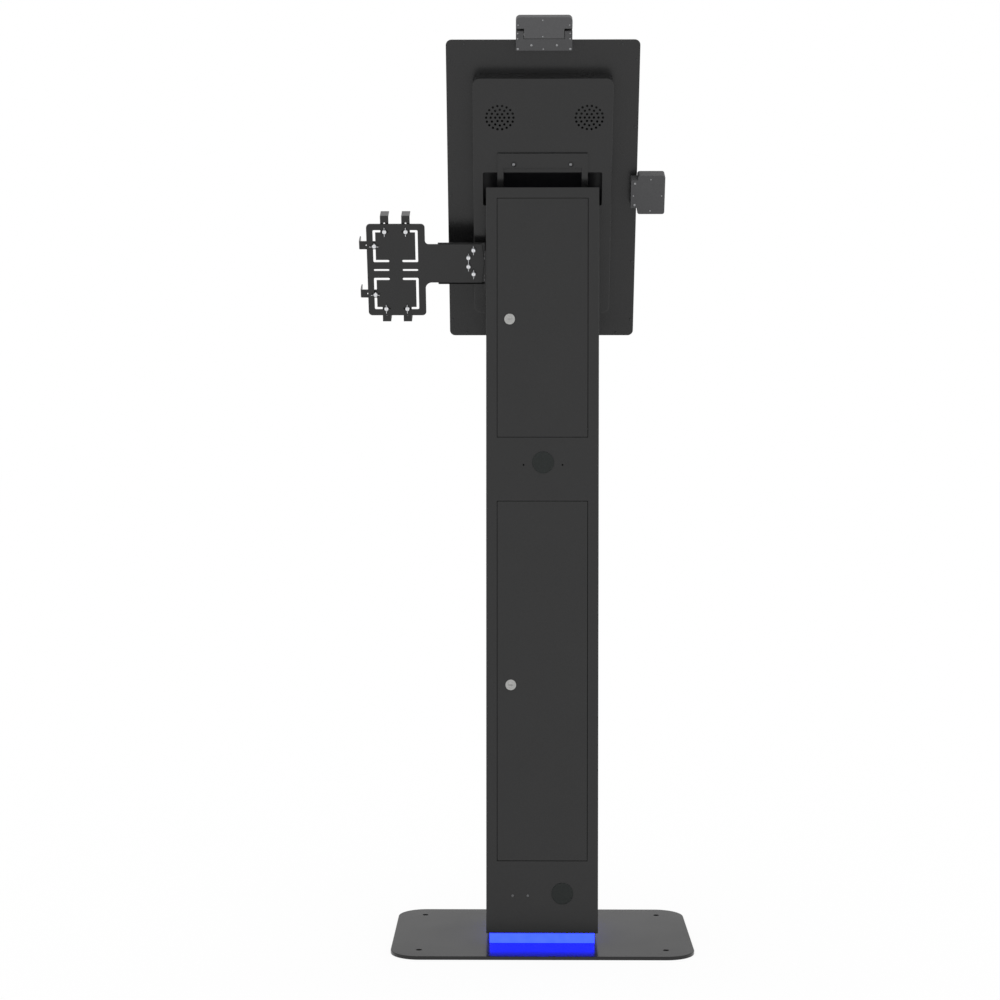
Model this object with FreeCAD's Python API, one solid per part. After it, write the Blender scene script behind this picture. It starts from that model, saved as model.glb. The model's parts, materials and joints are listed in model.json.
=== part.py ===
import FreeCAD, Part
import math
import os
from FreeCAD import Placement, Rotation, Vector

# Self-service ordering kiosk, in millimetres. +Z is up, the user stands on the -Y side and the
# service side with the doors is +Y. The origin is the centre of the floor plate's underside.

# Floor plate
base_width = 538.0
base_depth = 350.0
base_thickness = 6.0
base_corner = 52.0
base_edge = 1.2
anchor_spacing_x = 437.2
anchor_spacing_y = 258.0
anchor_hole = 10.5

# Light block and foot under the column
foot_height = 18.8
light_inset = 6.0
diffuser_wall = 4.0
foot_gap = 6.0
foot_ring = 28.0
led_thickness = 2.5
led_height = 10.0
foot_bolt = 10.0
foot_bolt_head = 16.0
foot_bolt_head_height = 6.4
foot_bolt_socket_depth = 4.4
foot_bolt_end = 1.0
foot_corner = 2.0
light_corner = 3.0

# Column
column_width = 200.0
column_depth = 170.0
column_rear = 86.0
column_top = 1354.0
sheet = 2.0
floor_sheet = 4.0
front_flange = 18.0
column_bend = 1.0
panel_gap = 0.3

# Rear doors: each is a tray that sits flush in a framed opening
door_width = 160.0
door_gap = 0.9
door_return = 8.0
door_skin = 2.0
door_flange = 1.5
upper_door_bottom = 913.5
upper_door_height = 421.2
lower_door_bottom = 156.0
lower_door_height = 643.0
stop_lip = 11.0
stop_gap = 0.5
hinge_inset = 10.0
hinge_depth = 3.6
hinge_pin = 3.0
hinge_pin_length = 12.0
running_fit = 0.05

# Cam locks
upper_lock_x = 58.4
upper_lock_height = 208.5
lower_lock_x = 56.2
lower_lock_height = 315.7
lock_face = 19.2
lock_face_height = 1.6
lock_rounding = 0.8
lock_barrel = 16.0
lock_length = 11.5
lock_plug = 12.0
cam_length = 30.0
cam_width = 12.0
cam_thickness = 2.5
cam_bore = 6.0
cam_stud = 2.0
lock_gap = 0.4
key_slot_length = 8.0
key_slot = 1.4
key_slot_depth = 3.6

# Cable caps and small screws in the rear wall
cap_diameter = 38.5
cap_height = 2.0
cap_hole = 35.0
cap_collar_depth = 8.0
cap_wall = 4.0
cap_rounding = 1.2
mid_cap_x = -1.0
mid_cap_z = 868.4
low_cap_x = -36.0
low_cap_z = 96.7
vent_spacing = 69.2
vent_z = 863.8
vent_hole = 3.0
earth_screw_x = 39.2
earth_screw_spacing = 27.2
earth_screw_z = 92.8
earth_screw_depth = 10.0
earth_screw_head = 5.2

# Screen slab, built in its own slanted frame: x across, y up the slope from the lower edge,
# z out of the glass towards the user. Its rear plane is z = 0.
screen_tilt = 23.84
screen_width = 340.0
screen_length = 552.0
screen_bottom_y = -99.0
screen_bottom_z = 1101.0
screen_depth = 26.0
screen_corner = 10.0
frame_wall = 8.0
frame_taper = 6.5
glass_wall = 10.5
frame_rim = 14.0
frame_rim_depth = 10.0
glass_thickness = 3.0
glass_gap = 0.3
glass_ledge = 18.0
glass_ledge_depth = 4.0
panel_side_gap = 6.0
panel_end_gap = 10.2
panel_depth = 11.0
frame_edge = 1.5
cover_edge = 1.0

# Raised box on the slab's rear
box_width = 246.0
box_bottom = 60.0
box_length = 433.0
box_depth = 39.0
box_corner = 12.0
box_bend = 1.2
cover_screw_inset = 5.5
cover_screw_top_inset = 7.5
cover_screw_x = 138.5
cover_screw_rows = [32.0, 145.0, 270.5, 396.0, 516.0]
small_head = 4.4
small_head_height = 1.2
small_shank = 2.5
screw_grip = 6.0
head_rounding = 0.45
screw_clearance = 0.1

# Speaker grilles
grille_spacing = 157.0
grille_x = -2.9
grille_y = 424.2
grille_pitch = 8.0
grille_rings = 3
grille_squash = 0.875
grille_hole = 4.2
speaker_flange = 60.0
speaker_flange_height = 2.5
speaker_cone = 48.0
speaker_cone_height = 10.0
speaker_magnet = 32.0
speaker_magnet_height = 8.0
speaker_rim = 1.0

# Recess for the cables, and what hangs the screen on the column
recess_width = 212.0
recess_bottom = 264.0
recess_height = 61.0
mount_thickness = 4.0
mount_top_gap = 2.0
hanger_width = 160.4
hanger_bar_bottom = 334.0
hanger_bar_height = 26.5
hanger_leg = 11.0
hanger_screw_spacing = 101.0
hanger_screw_shift = 1.05
hanger_screw_y = 340.1
hanger_screw = 3.0
hanger_screw_head = 5.6
hanger_screw_head_height = 2.4
hanger_pocket_y = 341.3
hanger_pocket = 9.2
hanger_pocket_depth = 2.6
hanger_corner = 2.0
recess_corner = 3.0
mount_bolt = 6.0
mount_bolt_head = 11.0
mount_bolt_head_height = 4.0
mount_bolt_spacing = 130.0
mount_bolt_rows = [90.0, 225.0]

# Main board
board_width = 170.0
board_length = 120.0
board_thickness = 1.6
board_bottom = 100.0
board_standoff = 14.0
board_standoff_diameter = 6.0
board_post_inset = 8.0
sink_width = 60.0
sink_length = 60.0
sink_base = 3.0
sink_fin_height = 9.0
sink_fin = 1.5
sink_fins = 9

# Camera module on the slab's top edge
camera_x = -1.6
camera_width = 98.0
camera_depth = 20.0
camera_bottom = 537.5
camera_base_height = 20.5
camera_top = 595.4
camera_bar_height = 19.8
camera_corner = 7.0
camera_ear = 13.2
camera_ear_top = 571.3
camera_tongue_gap = 0.5
camera_side_gap = 0.9
camera_pivot_rise = 9.8
camera_pivot = 5.0
camera_pivot_length = 18.0
camera_pivot_inset = 3.0
camera_collar = 11.0
camera_collar_gap = 0.1
camera_lip = 4.0
camera_lip_gap = 1.0
camera_lip_rise = 0.7
camera_ear_step = 565.0
camera_pad_height = 4.5
camera_pad_depth = 8.0
camera_screw_rise = 3.0
camera_screw_step = 6.5
camera_screw_inset = 3.5
camera_inner_screw = 44.0
lens_diameter = 16.0
lens_proud = 2.5
lens_seat = 6.0
lens_rim = 2.5
lens_bowl = 1.5

# Reader pod on the slab's side edge
reader_bottom = 244.7
reader_length = 71.1
reader_width = 48.5
reader_depth = 30.0
reader_corner = 4.0
reader_flange_width = 12.0
reader_flange_bottom = 256.0
reader_flange_length = 51.4
reader_wall = 2.5
reader_window_thickness = 2.0
reader_window_rim = 3.0
reader_screw_inset = 5.0
reader_screw_end = 6.0
reader_window_gap = 0.1

# Arm bracket on the column's side and the payment-terminal plate
arm_plane = 60.0
arm_bottom = 125.0
arm_height = 76.0
arm_reach = 87.5
arm_thickness = 3.0
arm_bend = 4.0
arm_inner_bend = 1.0
arm_flange_depth = 42.0
arm_screw_rise = 40.0
arm_screw_run = 20.0
arm_screw_depth = 8.0
arc_centre_x = 104.2
arc_centre_y = 166.6
arc_radius = 29.5
arc_half_step = 16.5
arc_swing = 6.0
plate_thickness = 3.0
plate_gap = 0.2
plate_left = 315.1
plate_right = 210.3
plate_bottom = 64.0
plate_top = 237.4
plate_corner = 7.0
neck_end = 104.0
neck_bottom = 127.0
neck_height = 72.4
neck_fillet_top = 6.5
neck_fillet_bottom = 11.0
neck_corner = 1.5
neck_clearance = 0.5
slot_width = 4.6
middle_slot_width = 3.8
slot_centre_x = 263.4
slot_column = 38.0
slot_inner = 14.0
slot_near_row = 17.0
slot_far_row = 73.0

# Hooks that clamp a payment terminal, each held by a wing screw
hook_width = 15.0
hook_thickness = 2.0
hook_reach = 27.6
hook_lip = 28.5
hook_corner = 2.0
hook_bend = 3.0
hook_inner_bend = 1.0
hook_hole_pitch = 14.0
hook_spare_hole = 3.2
hook_top_x = 19.0
hook_side_y = 46.0
wing_shank = 4.0
wing_hub = 8.8
wing_hub_height = 4.5
wing_span = 18.0
wing_height = 5.0
wing_thickness = 1.8
wing_nut = 7.0
wing_nut_height = 3.2
wing_shank_end = 1.0

# Receipt printer in the column, with its shelf and the slot in the front panel
shelf_top = 928.0
shelf_sheet = 2.0
shelf_return = 14.0
shelf_rear = 40.0
printer_width = 124.0
printer_depth = 98.0
printer_height = 82.0
printer_front_gap = 3.0
printer_wall = 3.0
printer_cover_thickness = 4.0
printer_cover_gap = 0.5
printer_knuckle = 6.0
printer_lug = 8.0
printer_grip_width = 40.0
printer_grip = 6.0
printer_hinge_pin = 4.0
printer_hinge_setback = 12.0
roll_diameter = 56.0
roll_width = 80.0
roll_core = 12.0
roll_clearance = 3.0
roll_height = 42.0
slot_opening_width = 92.0
slot_opening_height = 20.0
slot_opening_z = 975.0
bezel_width = 112.0
bezel_height = 38.0
bezel_proud = 4.0
bezel_slot_width = 84.0
bezel_slot_height = 6.0
bezel_chamfer = 2.8
bezel_snout_gap = 0.5

# Power supply on the column's floor
supply_width = 120.0
supply_depth = 80.0
supply_height = 100.0
supply_rear = 30.0
rocker_width = 20.0
rocker_length = 13.0
rocker_thickness = 7.0
rocker_gap = 1.2
rocker_pin = 2.5
rocker_from_rear = 20.0
rocker_floor = 1.5
rocker_ramp = 1.5

column_front = column_rear - column_depth
column_bottom = base_thickness + foot_height
screen_frame_of_slab = Placement(
    Vector(0, screen_bottom_y, screen_bottom_z), Rotation(Vector(1, 0, 0), 90 - screen_tilt)
)
plate_middle_y = (plate_bottom + plate_top) / 2


def block(x0, x1, y0, y1, z0, z1):
    return Part.makeBox(x1 - x0, y1 - y0, z1 - z0, Vector(x0, y0, z0))


def round_block(x0, x1, y0, y1, z0, z1, radius):
    """A block whose four upright edges are rounded."""
    solid = block(x0, x1, y0, y1, z0, z1)
    upright = []
    for edge in solid.Edges:
        start, end = edge.Vertexes[0].Point, edge.Vertexes[-1].Point
        if abs(start.x - end.x) < 1e-6 and abs(start.y - end.y) < 1e-6:
            upright.append(edge)
    return solid.makeFillet(radius, upright)


def rounded_rim(solid, z, radius):
    """Rounds every edge of a solid that lies in the plane at this height."""
    rim = []
    for edge in solid.Edges:
        if abs(edge.BoundBox.ZMin - z) < 1e-6 and abs(edge.BoundBox.ZMax - z) < 1e-6:
            rim.append(edge)
    return solid.makeFillet(radius, rim)


def rod(radius, start, end):
    start, end = Vector(*start), Vector(*end)
    return Part.makeCylinder(radius, (end - start).Length, start, end - start)


def slanted(solid):
    """Moves a solid from the slab's slanted frame to the kiosk's frame."""
    moved = solid.copy()
    moved.Placement = screen_frame_of_slab.multiply(moved.Placement)
    return moved


def joined(first, *others):
    solid = first.fuse(list(others))
    return solid.removeSplitter()


def save(name, shape):
    shape.exportStep(os.path.join("parts", name + ".step"))


def rear_screw(x, y, face, head, head_height, shank, length):
    """A pan-head screw in the slab's frame: its head lies on the plane z = -face, outside."""
    top = rod(head / 2, (x, y, -face - head_height), (x, y, -face))
    rim = max(top.Edges, key=lambda edge: -edge.CenterOfMass.z)
    top = top.makeFillet(head_height * head_rounding, [rim])
    return joined(top, rod(shank / 2, (x, y, -face), (x, y, -face + length)))


def screw_hole(x, y, shank, z0, z1):
    return rod(shank / 2 + screw_clearance, (x, y, z0), (x, y, z1))


def make_base_plate():
    half_x, half_y = base_width / 2, base_depth / 2
    plate = round_block(-half_x, half_x, -half_y, half_y, 0, base_thickness, base_corner)
    plate = rounded_rim(plate, base_thickness, base_edge)
    holes = []
    for side_x in (-1, 1):
        for side_y in (-1, 1):
            x, y = side_x * anchor_spacing_x / 2, side_y * anchor_spacing_y / 2
            holes.append(rod(anchor_hole / 2, (x, y, -1), (x, y, base_thickness + 1)))
    for x, y in foot_bolt_places():
        holes.append(rod(foot_bolt / 2 + screw_clearance, (x, y, -1), (x, y, base_thickness + 1)))
    return plate.cut(holes)


def light_outline(inset):
    """Half width, front and rear of a ring that lies this far inside the column's outline."""
    return column_width / 2 - inset, column_front + inset, column_rear - inset


def foot_bolt_places():
    half_x, front, rear = light_outline(light_inset + diffuser_wall + foot_gap + foot_ring / 2)
    return [(-half_x, front), (half_x, front), (-half_x, rear), (half_x, rear)]


def upright_ring(outer_inset, inner_inset, z0, z1, radius):
    half_x, front, rear = light_outline(outer_inset)
    outer = round_block(-half_x, half_x, front, rear, z0, z1, radius)
    half_x, front, rear = light_outline(inner_inset)
    return outer.cut(block(-half_x, half_x, front, rear, z0 - 1, z1 + 1))


def make_column_foot():
    inset = light_inset + diffuser_wall + foot_gap
    foot = upright_ring(inset, inset + foot_ring, base_thickness, column_bottom, foot_corner)
    holes = []
    for x, y in foot_bolt_places():
        radius = foot_bolt / 2 + screw_clearance
        holes.append(rod(radius, (x, y, base_thickness - 1), (x, y, column_bottom + 1)))
    return foot.cut(holes)


def make_light_diffuser():
    inset = light_inset + diffuser_wall
    return upright_ring(light_inset, inset, base_thickness, column_bottom, light_corner)


def make_led_strip():
    inset = light_inset + diffuser_wall + foot_gap
    middle = (base_thickness + column_bottom) / 2
    low, high = middle - led_height / 2, middle + led_height / 2
    return upright_ring(inset - led_thickness, inset, low, high, foot_corner)


def make_foot_bolts():
    seat = column_bottom + floor_sheet
    bolts = []
    for x, y in foot_bolt_places():
        head = rod(foot_bolt_head / 2, (x, y, seat), (x, y, seat + foot_bolt_head_height))
        head_top = seat + foot_bolt_head_height
        socket = rod(foot_bolt / 4, (x, y, head_top - foot_bolt_socket_depth), (x, y, head_top + 1))
        shank = rod(foot_bolt / 2, (x, y, foot_bolt_end), (x, y, seat))
        bolts.append(joined(head.cut(socket), shank))
    return Part.makeCompound(bolts)


def behind_screen():
    """Everything on the service side of the plane that the raised box's rear face lies in."""
    reach = 3000.0
    return slanted(block(-reach, reach, -reach, reach, -reach, -box_depth))


def opening_frame(bottom, height):
    """The turned-in edge of a door opening, with its stop lip on three sides."""
    half = door_width / 2 + door_gap
    low, high = bottom - door_gap, bottom + height + door_gap
    depth = door_skin + door_return + stop_gap
    inner = column_rear - depth
    outer = block(-half - sheet, half + sheet, inner, column_rear - sheet, low - sheet, high + sheet)
    ring = outer.cut(block(-half, half, inner - 1, column_rear, low, high))
    swing_side = -half + 2 * hinge_inset + door_return
    lip = block(swing_side, half + sheet, inner - sheet, inner, low - sheet, high + sheet)
    lip = lip.cut(block(
        swing_side - 1, half - stop_lip, inner - sheet - 1, inner + 1, low + stop_lip, high - stop_lip
    ))
    return joined(ring, lip)


def door_opening(bottom, height):
    half = door_width / 2 + door_gap
    low, high = bottom - door_gap, bottom + height + door_gap
    return block(-half, half, column_rear - 3 * sheet, column_rear + 1, low, high)


def make_column_shell():
    half = column_width / 2
    shell = round_block(-half, half, column_front, column_rear, column_bottom, column_top, column_bend)
    shell = shell.cut(block(
        -half + sheet, half - sheet, column_front - 1, column_rear - sheet,
        column_bottom + floor_sheet, column_top + 1
    ))
    flanges = []
    for side in (-1, 1):
        wall, edge = side * (half - sheet), side * (half - sheet - front_flange)
        flanges.append(block(
            min(wall, edge), max(wall, edge), column_front + sheet, column_front + 2 * sheet,
            column_bottom + floor_sheet, column_top
        ))
    shell = joined(shell, *flanges)
    cuts = []
    frames = []
    for bottom, height in door_places():
        cuts.append(door_opening(bottom, height))
        frames.append(opening_frame(bottom, height))
    shell = joined(shell.cut(cuts), *frames)
    holes = []
    for x, z in cap_places():
        holes.append(rod(cap_hole / 2, (x, column_rear - 3 * sheet, z), (x, column_rear + 1, z)))
    for side in (-1, 1):
        x = mid_cap_x + side * vent_spacing / 2
        holes.append(rod(vent_hole / 2, (x, column_rear - 2 * sheet, vent_z), (x, column_rear + 1, vent_z)))
    for x, z in earth_screw_places():
        radius = small_shank / 2 + screw_clearance
        holes.append(rod(radius, (x, column_rear - 2 * sheet, z), (x, column_rear + 1, z)))
    for x, y in foot_bolt_places():
        radius = foot_bolt / 2 + screw_clearance
        low, high = column_bottom - 1, column_bottom + floor_sheet + 1
        holes.append(rod(radius, (x, y, low), (x, y, high)))
    for x, y, low, high in hinge_pin_places():
        holes.append(rod(hinge_pin / 2 + running_fit, (x, y, low), (x, y, high)))
    shell = shell.cut(holes)
    shell = shell.common(behind_screen())
    return shell.cut(arm_screw_holes())


def door_places():
    return [(upper_door_bottom, upper_door_height), (lower_door_bottom, lower_door_height)]


def cap_places():
    return [(mid_cap_x, mid_cap_z), (low_cap_x, low_cap_z)]


def earth_screw_places():
    half = earth_screw_spacing / 2
    return [(earth_screw_x - half, earth_screw_z), (earth_screw_x + half, earth_screw_z)]


def hinge_axis():
    return -door_width / 2 + hinge_inset, column_rear - hinge_depth


def hinge_pin_places():
    """Each pin stands through the opening's turned-in edge and the door's flange."""
    x, y = hinge_axis()
    inside = door_gap + sheet
    places = []
    for bottom, height in door_places():
        places.append((x, y, bottom - inside, bottom - inside + hinge_pin_length))
        top = bottom + height + inside
        places.append((x, y, top - hinge_pin_length, top))
    return places


def make_hinge_pins():
    pins = [rod(hinge_pin / 2, (x, y, low), (x, y, high)) for x, y, low, high in hinge_pin_places()]
    return Part.makeCompound(pins)


def make_door(bottom, height, lock_x, lock_z):
    half, top = door_width / 2, bottom + height
    inner = column_rear - door_skin - door_return
    skin_inner = column_rear - door_skin
    tray = block(-half, half, inner, column_rear, bottom, top)
    tray = tray.cut(block(
        -half + door_flange, half - door_flange, inner - 1, skin_inner,
        bottom + door_flange, top - door_flange
    ))
    x, y = hinge_axis()
    radius = hinge_pin / 2 + running_fit
    pins = rod(radius, (x, y, bottom - 1), (x, y, top + 1))
    barrel = rod(
        lock_barrel / 2 + screw_clearance, (lock_x, inner, lock_z), (lock_x, column_rear + 1, lock_z)
    )
    return tray.cut([pins, barrel])


def lock_pieces(x, z):
    """Housing, turning plug and cam of one lock; the cam points up while unlocked."""
    face = column_rear + lock_face_height
    back = column_rear - door_skin - lock_length
    rim = rod(lock_face / 2, (x, column_rear, z), (x, face, z))
    edge = max(rim.Edges, key=lambda item: item.CenterOfMass.y)
    rim = rim.makeFillet(lock_rounding, [edge])
    body = joined(rim, rod(lock_barrel / 2, (x, back, z), (x, column_rear, z)))
    body = body.cut(rod(lock_plug / 2 + running_fit, (x, back - 1, z), (x, face + 1, z)))
    cam_rear = back - lock_gap
    cam_front = cam_rear - cam_thickness
    plug_face = face - lock_gap
    plug = rod(lock_plug / 2, (x, cam_rear, z), (x, plug_face, z))
    half_key = key_slot_length / 2
    plug = plug.cut(block(
        x - half_key, x + half_key, plug_face - key_slot_depth, plug_face + 1,
        z - key_slot / 2, z + key_slot / 2
    ))
    stud = rod(cam_bore / 2, (x, cam_front - cam_stud, z), (x, cam_rear, z))
    hub = rod(cam_width / 2, (x, cam_front, z), (x, cam_rear, z))
    arm = block(x - cam_width / 2, x + cam_width / 2, cam_front, cam_rear, z, z + cam_length)
    cam = joined(hub, arm).cut(rod(cam_bore / 2, (x, cam_front - 1, z), (x, cam_rear + 1, z)))
    return body, joined(plug, stud), cam


def make_cable_caps():
    caps = []
    for x, z in cap_places():
        rim = rod(cap_diameter / 2, (x, column_rear, z), (x, column_rear + cap_height, z))
        edge = max(rim.Edges, key=lambda item: item.CenterOfMass.y)
        rim = rim.makeFillet(cap_rounding, [edge])
        end = column_rear - cap_collar_depth
        collar = rod(cap_hole / 2 - panel_gap, (x, end, z), (x, column_rear, z))
        core = rod(cap_hole / 2 - cap_wall, (x, end - 1, z), (x, column_rear - 1, z))
        caps.append(joined(rim, collar.cut(core)))
    return Part.makeCompound(caps)


def make_earth_screws():
    screws = []
    for x, z in earth_screw_places():
        head = rod(earth_screw_head / 2, (x, column_rear, z), (x, column_rear + small_head_height, z))
        shank = rod(small_shank / 2, (x, column_rear - earth_screw_depth, z), (x, column_rear, z))
        screws.append(joined(head, shank))
    return Part.makeCompound(screws)


def make_column_front_panel():
    half = column_width / 2 - sheet - panel_gap
    panel = block(
        -half, half, column_front, column_front + sheet,
        column_bottom + floor_sheet + panel_gap, column_top
    )
    panel = panel.common(behind_screen())
    half_slot, half_high = slot_opening_width / 2, slot_opening_height / 2
    return panel.cut(block(
        -half_slot, half_slot, column_front - 1, column_front + sheet + 1,
        slot_opening_z - half_high, slot_opening_z + half_high
    ))


def make_mounting_plate():
    """The slanted plate that closes the column's top and carries the screen."""
    half = column_width / 2 - sheet
    top = recess_bottom - mount_top_gap
    plate = slanted(block(-half, half, -screen_length, top, -box_depth - mount_thickness, -box_depth))
    inside = block(
        -half, half, column_front + 2 * sheet, column_rear - sheet, column_bottom, column_top
    )
    plate = plate.common(inside)
    holes = [slanted(screw_hole(x, y, mount_bolt, -60, 0)) for x, y in mount_bolt_places()]
    return plate.cut(holes)


def mount_bolt_places():
    places = []
    for y in mount_bolt_rows:
        for side in (-1, 1):
            places.append((side * mount_bolt_spacing / 2, y))
    return places


def make_mounting_bolts():
    face = box_depth + mount_thickness
    length = mount_thickness + sheet + screw_grip
    bolts = []
    for x, y in mount_bolt_places():
        bolt = rear_screw(x, y, face, mount_bolt_head, mount_bolt_head_height, mount_bolt, length)
        bolts.append(slanted(bolt))
    return Part.makeCompound(bolts)


def hanger_screw_places():
    """The screws sit low and to one side in the bracket's wide pockets."""
    half = hanger_screw_spacing / 2
    return [(side * half + hanger_screw_shift, hanger_screw_y) for side in (-1, 1)]


def make_hanger_bracket():
    half = hanger_width / 2
    low, high = -box_depth - mount_thickness, -box_depth
    bar_top = hanger_bar_bottom + hanger_bar_height
    bar = round_block(-half, half, hanger_bar_bottom, bar_top, low, high, hanger_corner)
    legs = []
    for side in (-1, 1):
        outer, inner = side * half, side * (half - hanger_leg)
        legs.append(block(
            min(outer, inner), max(outer, inner), recess_bottom - mount_top_gap,
            bar_top - hanger_bar_height / 2, low, high
        ))
    bracket = joined(bar, *legs)
    holes = [screw_hole(x, y, hanger_screw, low - 1, high + 1) for x, y in hanger_screw_places()]
    for side in (-1, 1):
        x = side * hanger_screw_spacing / 2
        floor = low + hanger_pocket_depth
        holes.append(rod(hanger_pocket / 2, (x, hanger_pocket_y, low - 1), (x, hanger_pocket_y, floor)))
    return slanted(bracket.cut(holes))


def make_hanger_screws():
    face = box_depth + mount_thickness - hanger_pocket_depth
    length = mount_thickness - hanger_pocket_depth + sheet + screw_grip
    screws = []
    for x, y in hanger_screw_places():
        screw = rear_screw(
            x, y, face, hanger_screw_head, hanger_screw_head_height, hanger_screw, length
        )
        screws.append(slanted(screw))
    return Part.makeCompound(screws)


def grille_holes(x, y, z0, z1):
    holes = [rod(grille_hole / 2, (x, y, z0), (x, y, z1))]
    for ring in range(1, grille_rings + 1):
        for step in range(6 * ring):
            angle = 2 * math.pi * step / (6 * ring)
            hole_x = x + ring * grille_pitch * math.cos(angle)
            hole_y = y + ring * grille_pitch * grille_squash * math.sin(angle)
            holes.append(rod(grille_hole / 2, (hole_x, hole_y, z0), (hole_x, hole_y, z1)))
    return holes


def cover_screw_places():
    """Screws round the slab's rim, without the one that the reader pod covers."""
    edge_x = screen_width / 2 - cover_screw_inset
    reader_top = reader_bottom + reader_length
    places = []
    for y in cover_screw_rows:
        for x in (-edge_x, edge_x):
            if x > 0 or y < reader_bottom or y > reader_top:
                places.append((x, y))
    for y in (cover_screw_inset, screen_length - cover_screw_top_inset):
        for x in (-cover_screw_x, cover_screw_x):
            places.append((x, y))
    return places


def make_rear_cover():
    half, box_half, box_top = screen_width / 2, box_width / 2, box_bottom + box_length
    plate = round_block(-half, half, 0, screen_length, 0, sheet, screen_corner)
    plate = rounded_rim(plate, 0, cover_edge)
    raised = round_block(-box_half, box_half, box_bottom, box_top, -box_depth, sheet, box_corner)
    raised = rounded_rim(raised, -box_depth, box_bend)
    hollow = round_block(
        -box_half + sheet, box_half - sheet, box_bottom + sheet, box_top - sheet,
        -box_depth + sheet, sheet + 1, box_corner - sheet
    )
    cover = joined(plate, raised).cut(hollow)
    face_low, face_high = -box_depth - 1, -box_depth + sheet + 1
    cuts = [round_block(
        -recess_width / 2, recess_width / 2, recess_bottom, recess_bottom + recess_height,
        face_low, face_high, recess_corner
    )]
    for side in (-1, 1):
        x = grille_x + side * grille_spacing / 2
        cuts.extend(grille_holes(x, grille_y, face_low, face_high))
    for x, y in hanger_screw_places():
        cuts.append(screw_hole(x, y, hanger_screw, face_low, face_high))
    for x, y in mount_bolt_places():
        cuts.append(screw_hole(x, y, mount_bolt, face_low, face_high))
    for x, y in cover_screw_places() + camera_screw_places() + reader_flange_screw_places():
        cuts.append(screw_hole(x, y, small_shank, -1, sheet + 1))
    return slanted(cover.cut(cuts))


def make_rear_cover_screws():
    screws = []
    for x, y in cover_screw_places():
        screw = rear_screw(x, y, 0, small_head, small_head_height, small_shank, sheet + screw_grip)
        screws.append(slanted(screw))
    return Part.makeCompound(screws)


def frame_outline(inset, z):
    """The slab's outline with rounded corners, drawn in by this much, at one height."""
    half, low, high = screen_width / 2 - inset, inset, screen_length - inset
    radius = screen_corner - inset / 2
    slab = round_block(-half, half, low, high, z - 1, z, radius)
    top = max(slab.Faces, key=lambda face: face.CenterOfMass.z)
    return top.OuterWire


def make_screen_frame():
    half, front = screen_width / 2, screen_depth
    frame = Part.makeLoft([frame_outline(0, sheet), frame_outline(frame_taper, front)], True, True)
    frame = rounded_rim(frame, front, frame_edge)
    seat = front - glass_thickness - 2 * glass_gap
    ledge_back = seat - glass_ledge_depth
    rim_front = sheet + frame_rim_depth

    def hollow(wall, z0, z1):
        return block(-half + wall, half - wall, wall, screen_length - wall, z0, z1)

    cuts = [
        hollow(glass_wall, seat, front + 1),
        hollow(glass_ledge, ledge_back - 1, seat + 1),
        hollow(frame_wall, rim_front, ledge_back),
        hollow(frame_rim, sheet - 1, rim_front + 1),
    ]
    for x, y in cover_screw_places() + camera_screw_places() + reader_flange_screw_places():
        cuts.append(screw_hole(x, y, small_shank, 0, rim_front))
    return slanted(frame.cut(cuts))


def make_screen_glass():
    half = screen_width / 2 - glass_wall - glass_gap
    low = glass_wall + glass_gap
    front = screen_depth - glass_gap
    glass = block(-half, half, low, screen_length - low, front - glass_thickness, front)
    return slanted(glass)


def make_lcd_panel():
    half = screen_width / 2 - glass_ledge - panel_side_gap
    low = glass_ledge + panel_end_gap
    front = screen_depth - glass_thickness - 2 * glass_gap
    return slanted(block(-half, half, low, screen_length - low, front - panel_depth, front))


def make_speakers():
    speakers = []
    seat = -box_depth + sheet
    for side in (-1, 1):
        x = grille_x + side * grille_spacing / 2
        flange_top = seat + speaker_flange_height
        cone_top = flange_top + speaker_cone_height
        magnet_top = cone_top + speaker_magnet_height
        flange = rod(speaker_flange / 2, (x, grille_y, seat), (x, grille_y, flange_top))
        opening = rod(
            speaker_cone / 2 - speaker_rim, (x, grille_y, seat - 1), (x, grille_y, seat + speaker_rim)
        )
        cone = Part.makeCone(
            speaker_cone / 2, speaker_magnet / 2, speaker_cone_height, Vector(x, grille_y, flange_top)
        )
        magnet = rod(speaker_magnet / 2, (x, grille_y, cone_top), (x, grille_y, magnet_top))
        speakers.append(slanted(joined(flange, cone, magnet).cut(opening)))
    return Part.makeCompound(speakers)


def make_main_board():
    """Circuit board on four standoffs, with a finned heat sink on it."""
    half = board_width / 2
    top = board_bottom + board_length
    back = -box_depth + sheet + board_standoff
    front = back + board_thickness
    board = block(-half, half, board_bottom, top, back, front)
    posts = []
    for x in (-half + board_post_inset, half - board_post_inset):
        for y in (board_bottom + board_post_inset, top - board_post_inset):
            posts.append(rod(
                board_standoff_diameter / 2, (x, y, back - board_standoff), (x, y, back)
            ))
    middle = (board_bottom + top) / 2
    low, high = middle - sink_length / 2, middle + sink_length / 2
    sink = block(-sink_width / 2, sink_width / 2, low, high, front, front + sink_base)
    fins = []
    pitch = (sink_width - sink_fin) / (sink_fins - 1)
    fin_foot = front + sink_base
    for count in range(sink_fins):
        x = -sink_width / 2 + count * pitch
        fins.append(block(x, x + sink_fin, low, high, fin_foot, fin_foot + sink_fin_height))
    return slanted(joined(board, *posts, sink, *fins))


def camera_screw_places():
    """Where the camera bracket's screws enter the slab."""
    low = camera_bottom + camera_screw_rise
    outer, inner = camera_width / 2 - camera_screw_inset, camera_inner_screw / 2
    places = [(camera_x + side * outer, low) for side in (-1, 1)]
    return places + [(camera_x + side * inner, low + camera_screw_step) for side in (-1, 1)]


def camera_pivot_place():
    tongue_bottom = camera_bottom + camera_base_height + camera_tongue_gap
    return tongue_bottom + camera_pivot_rise, -camera_depth / 2


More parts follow.
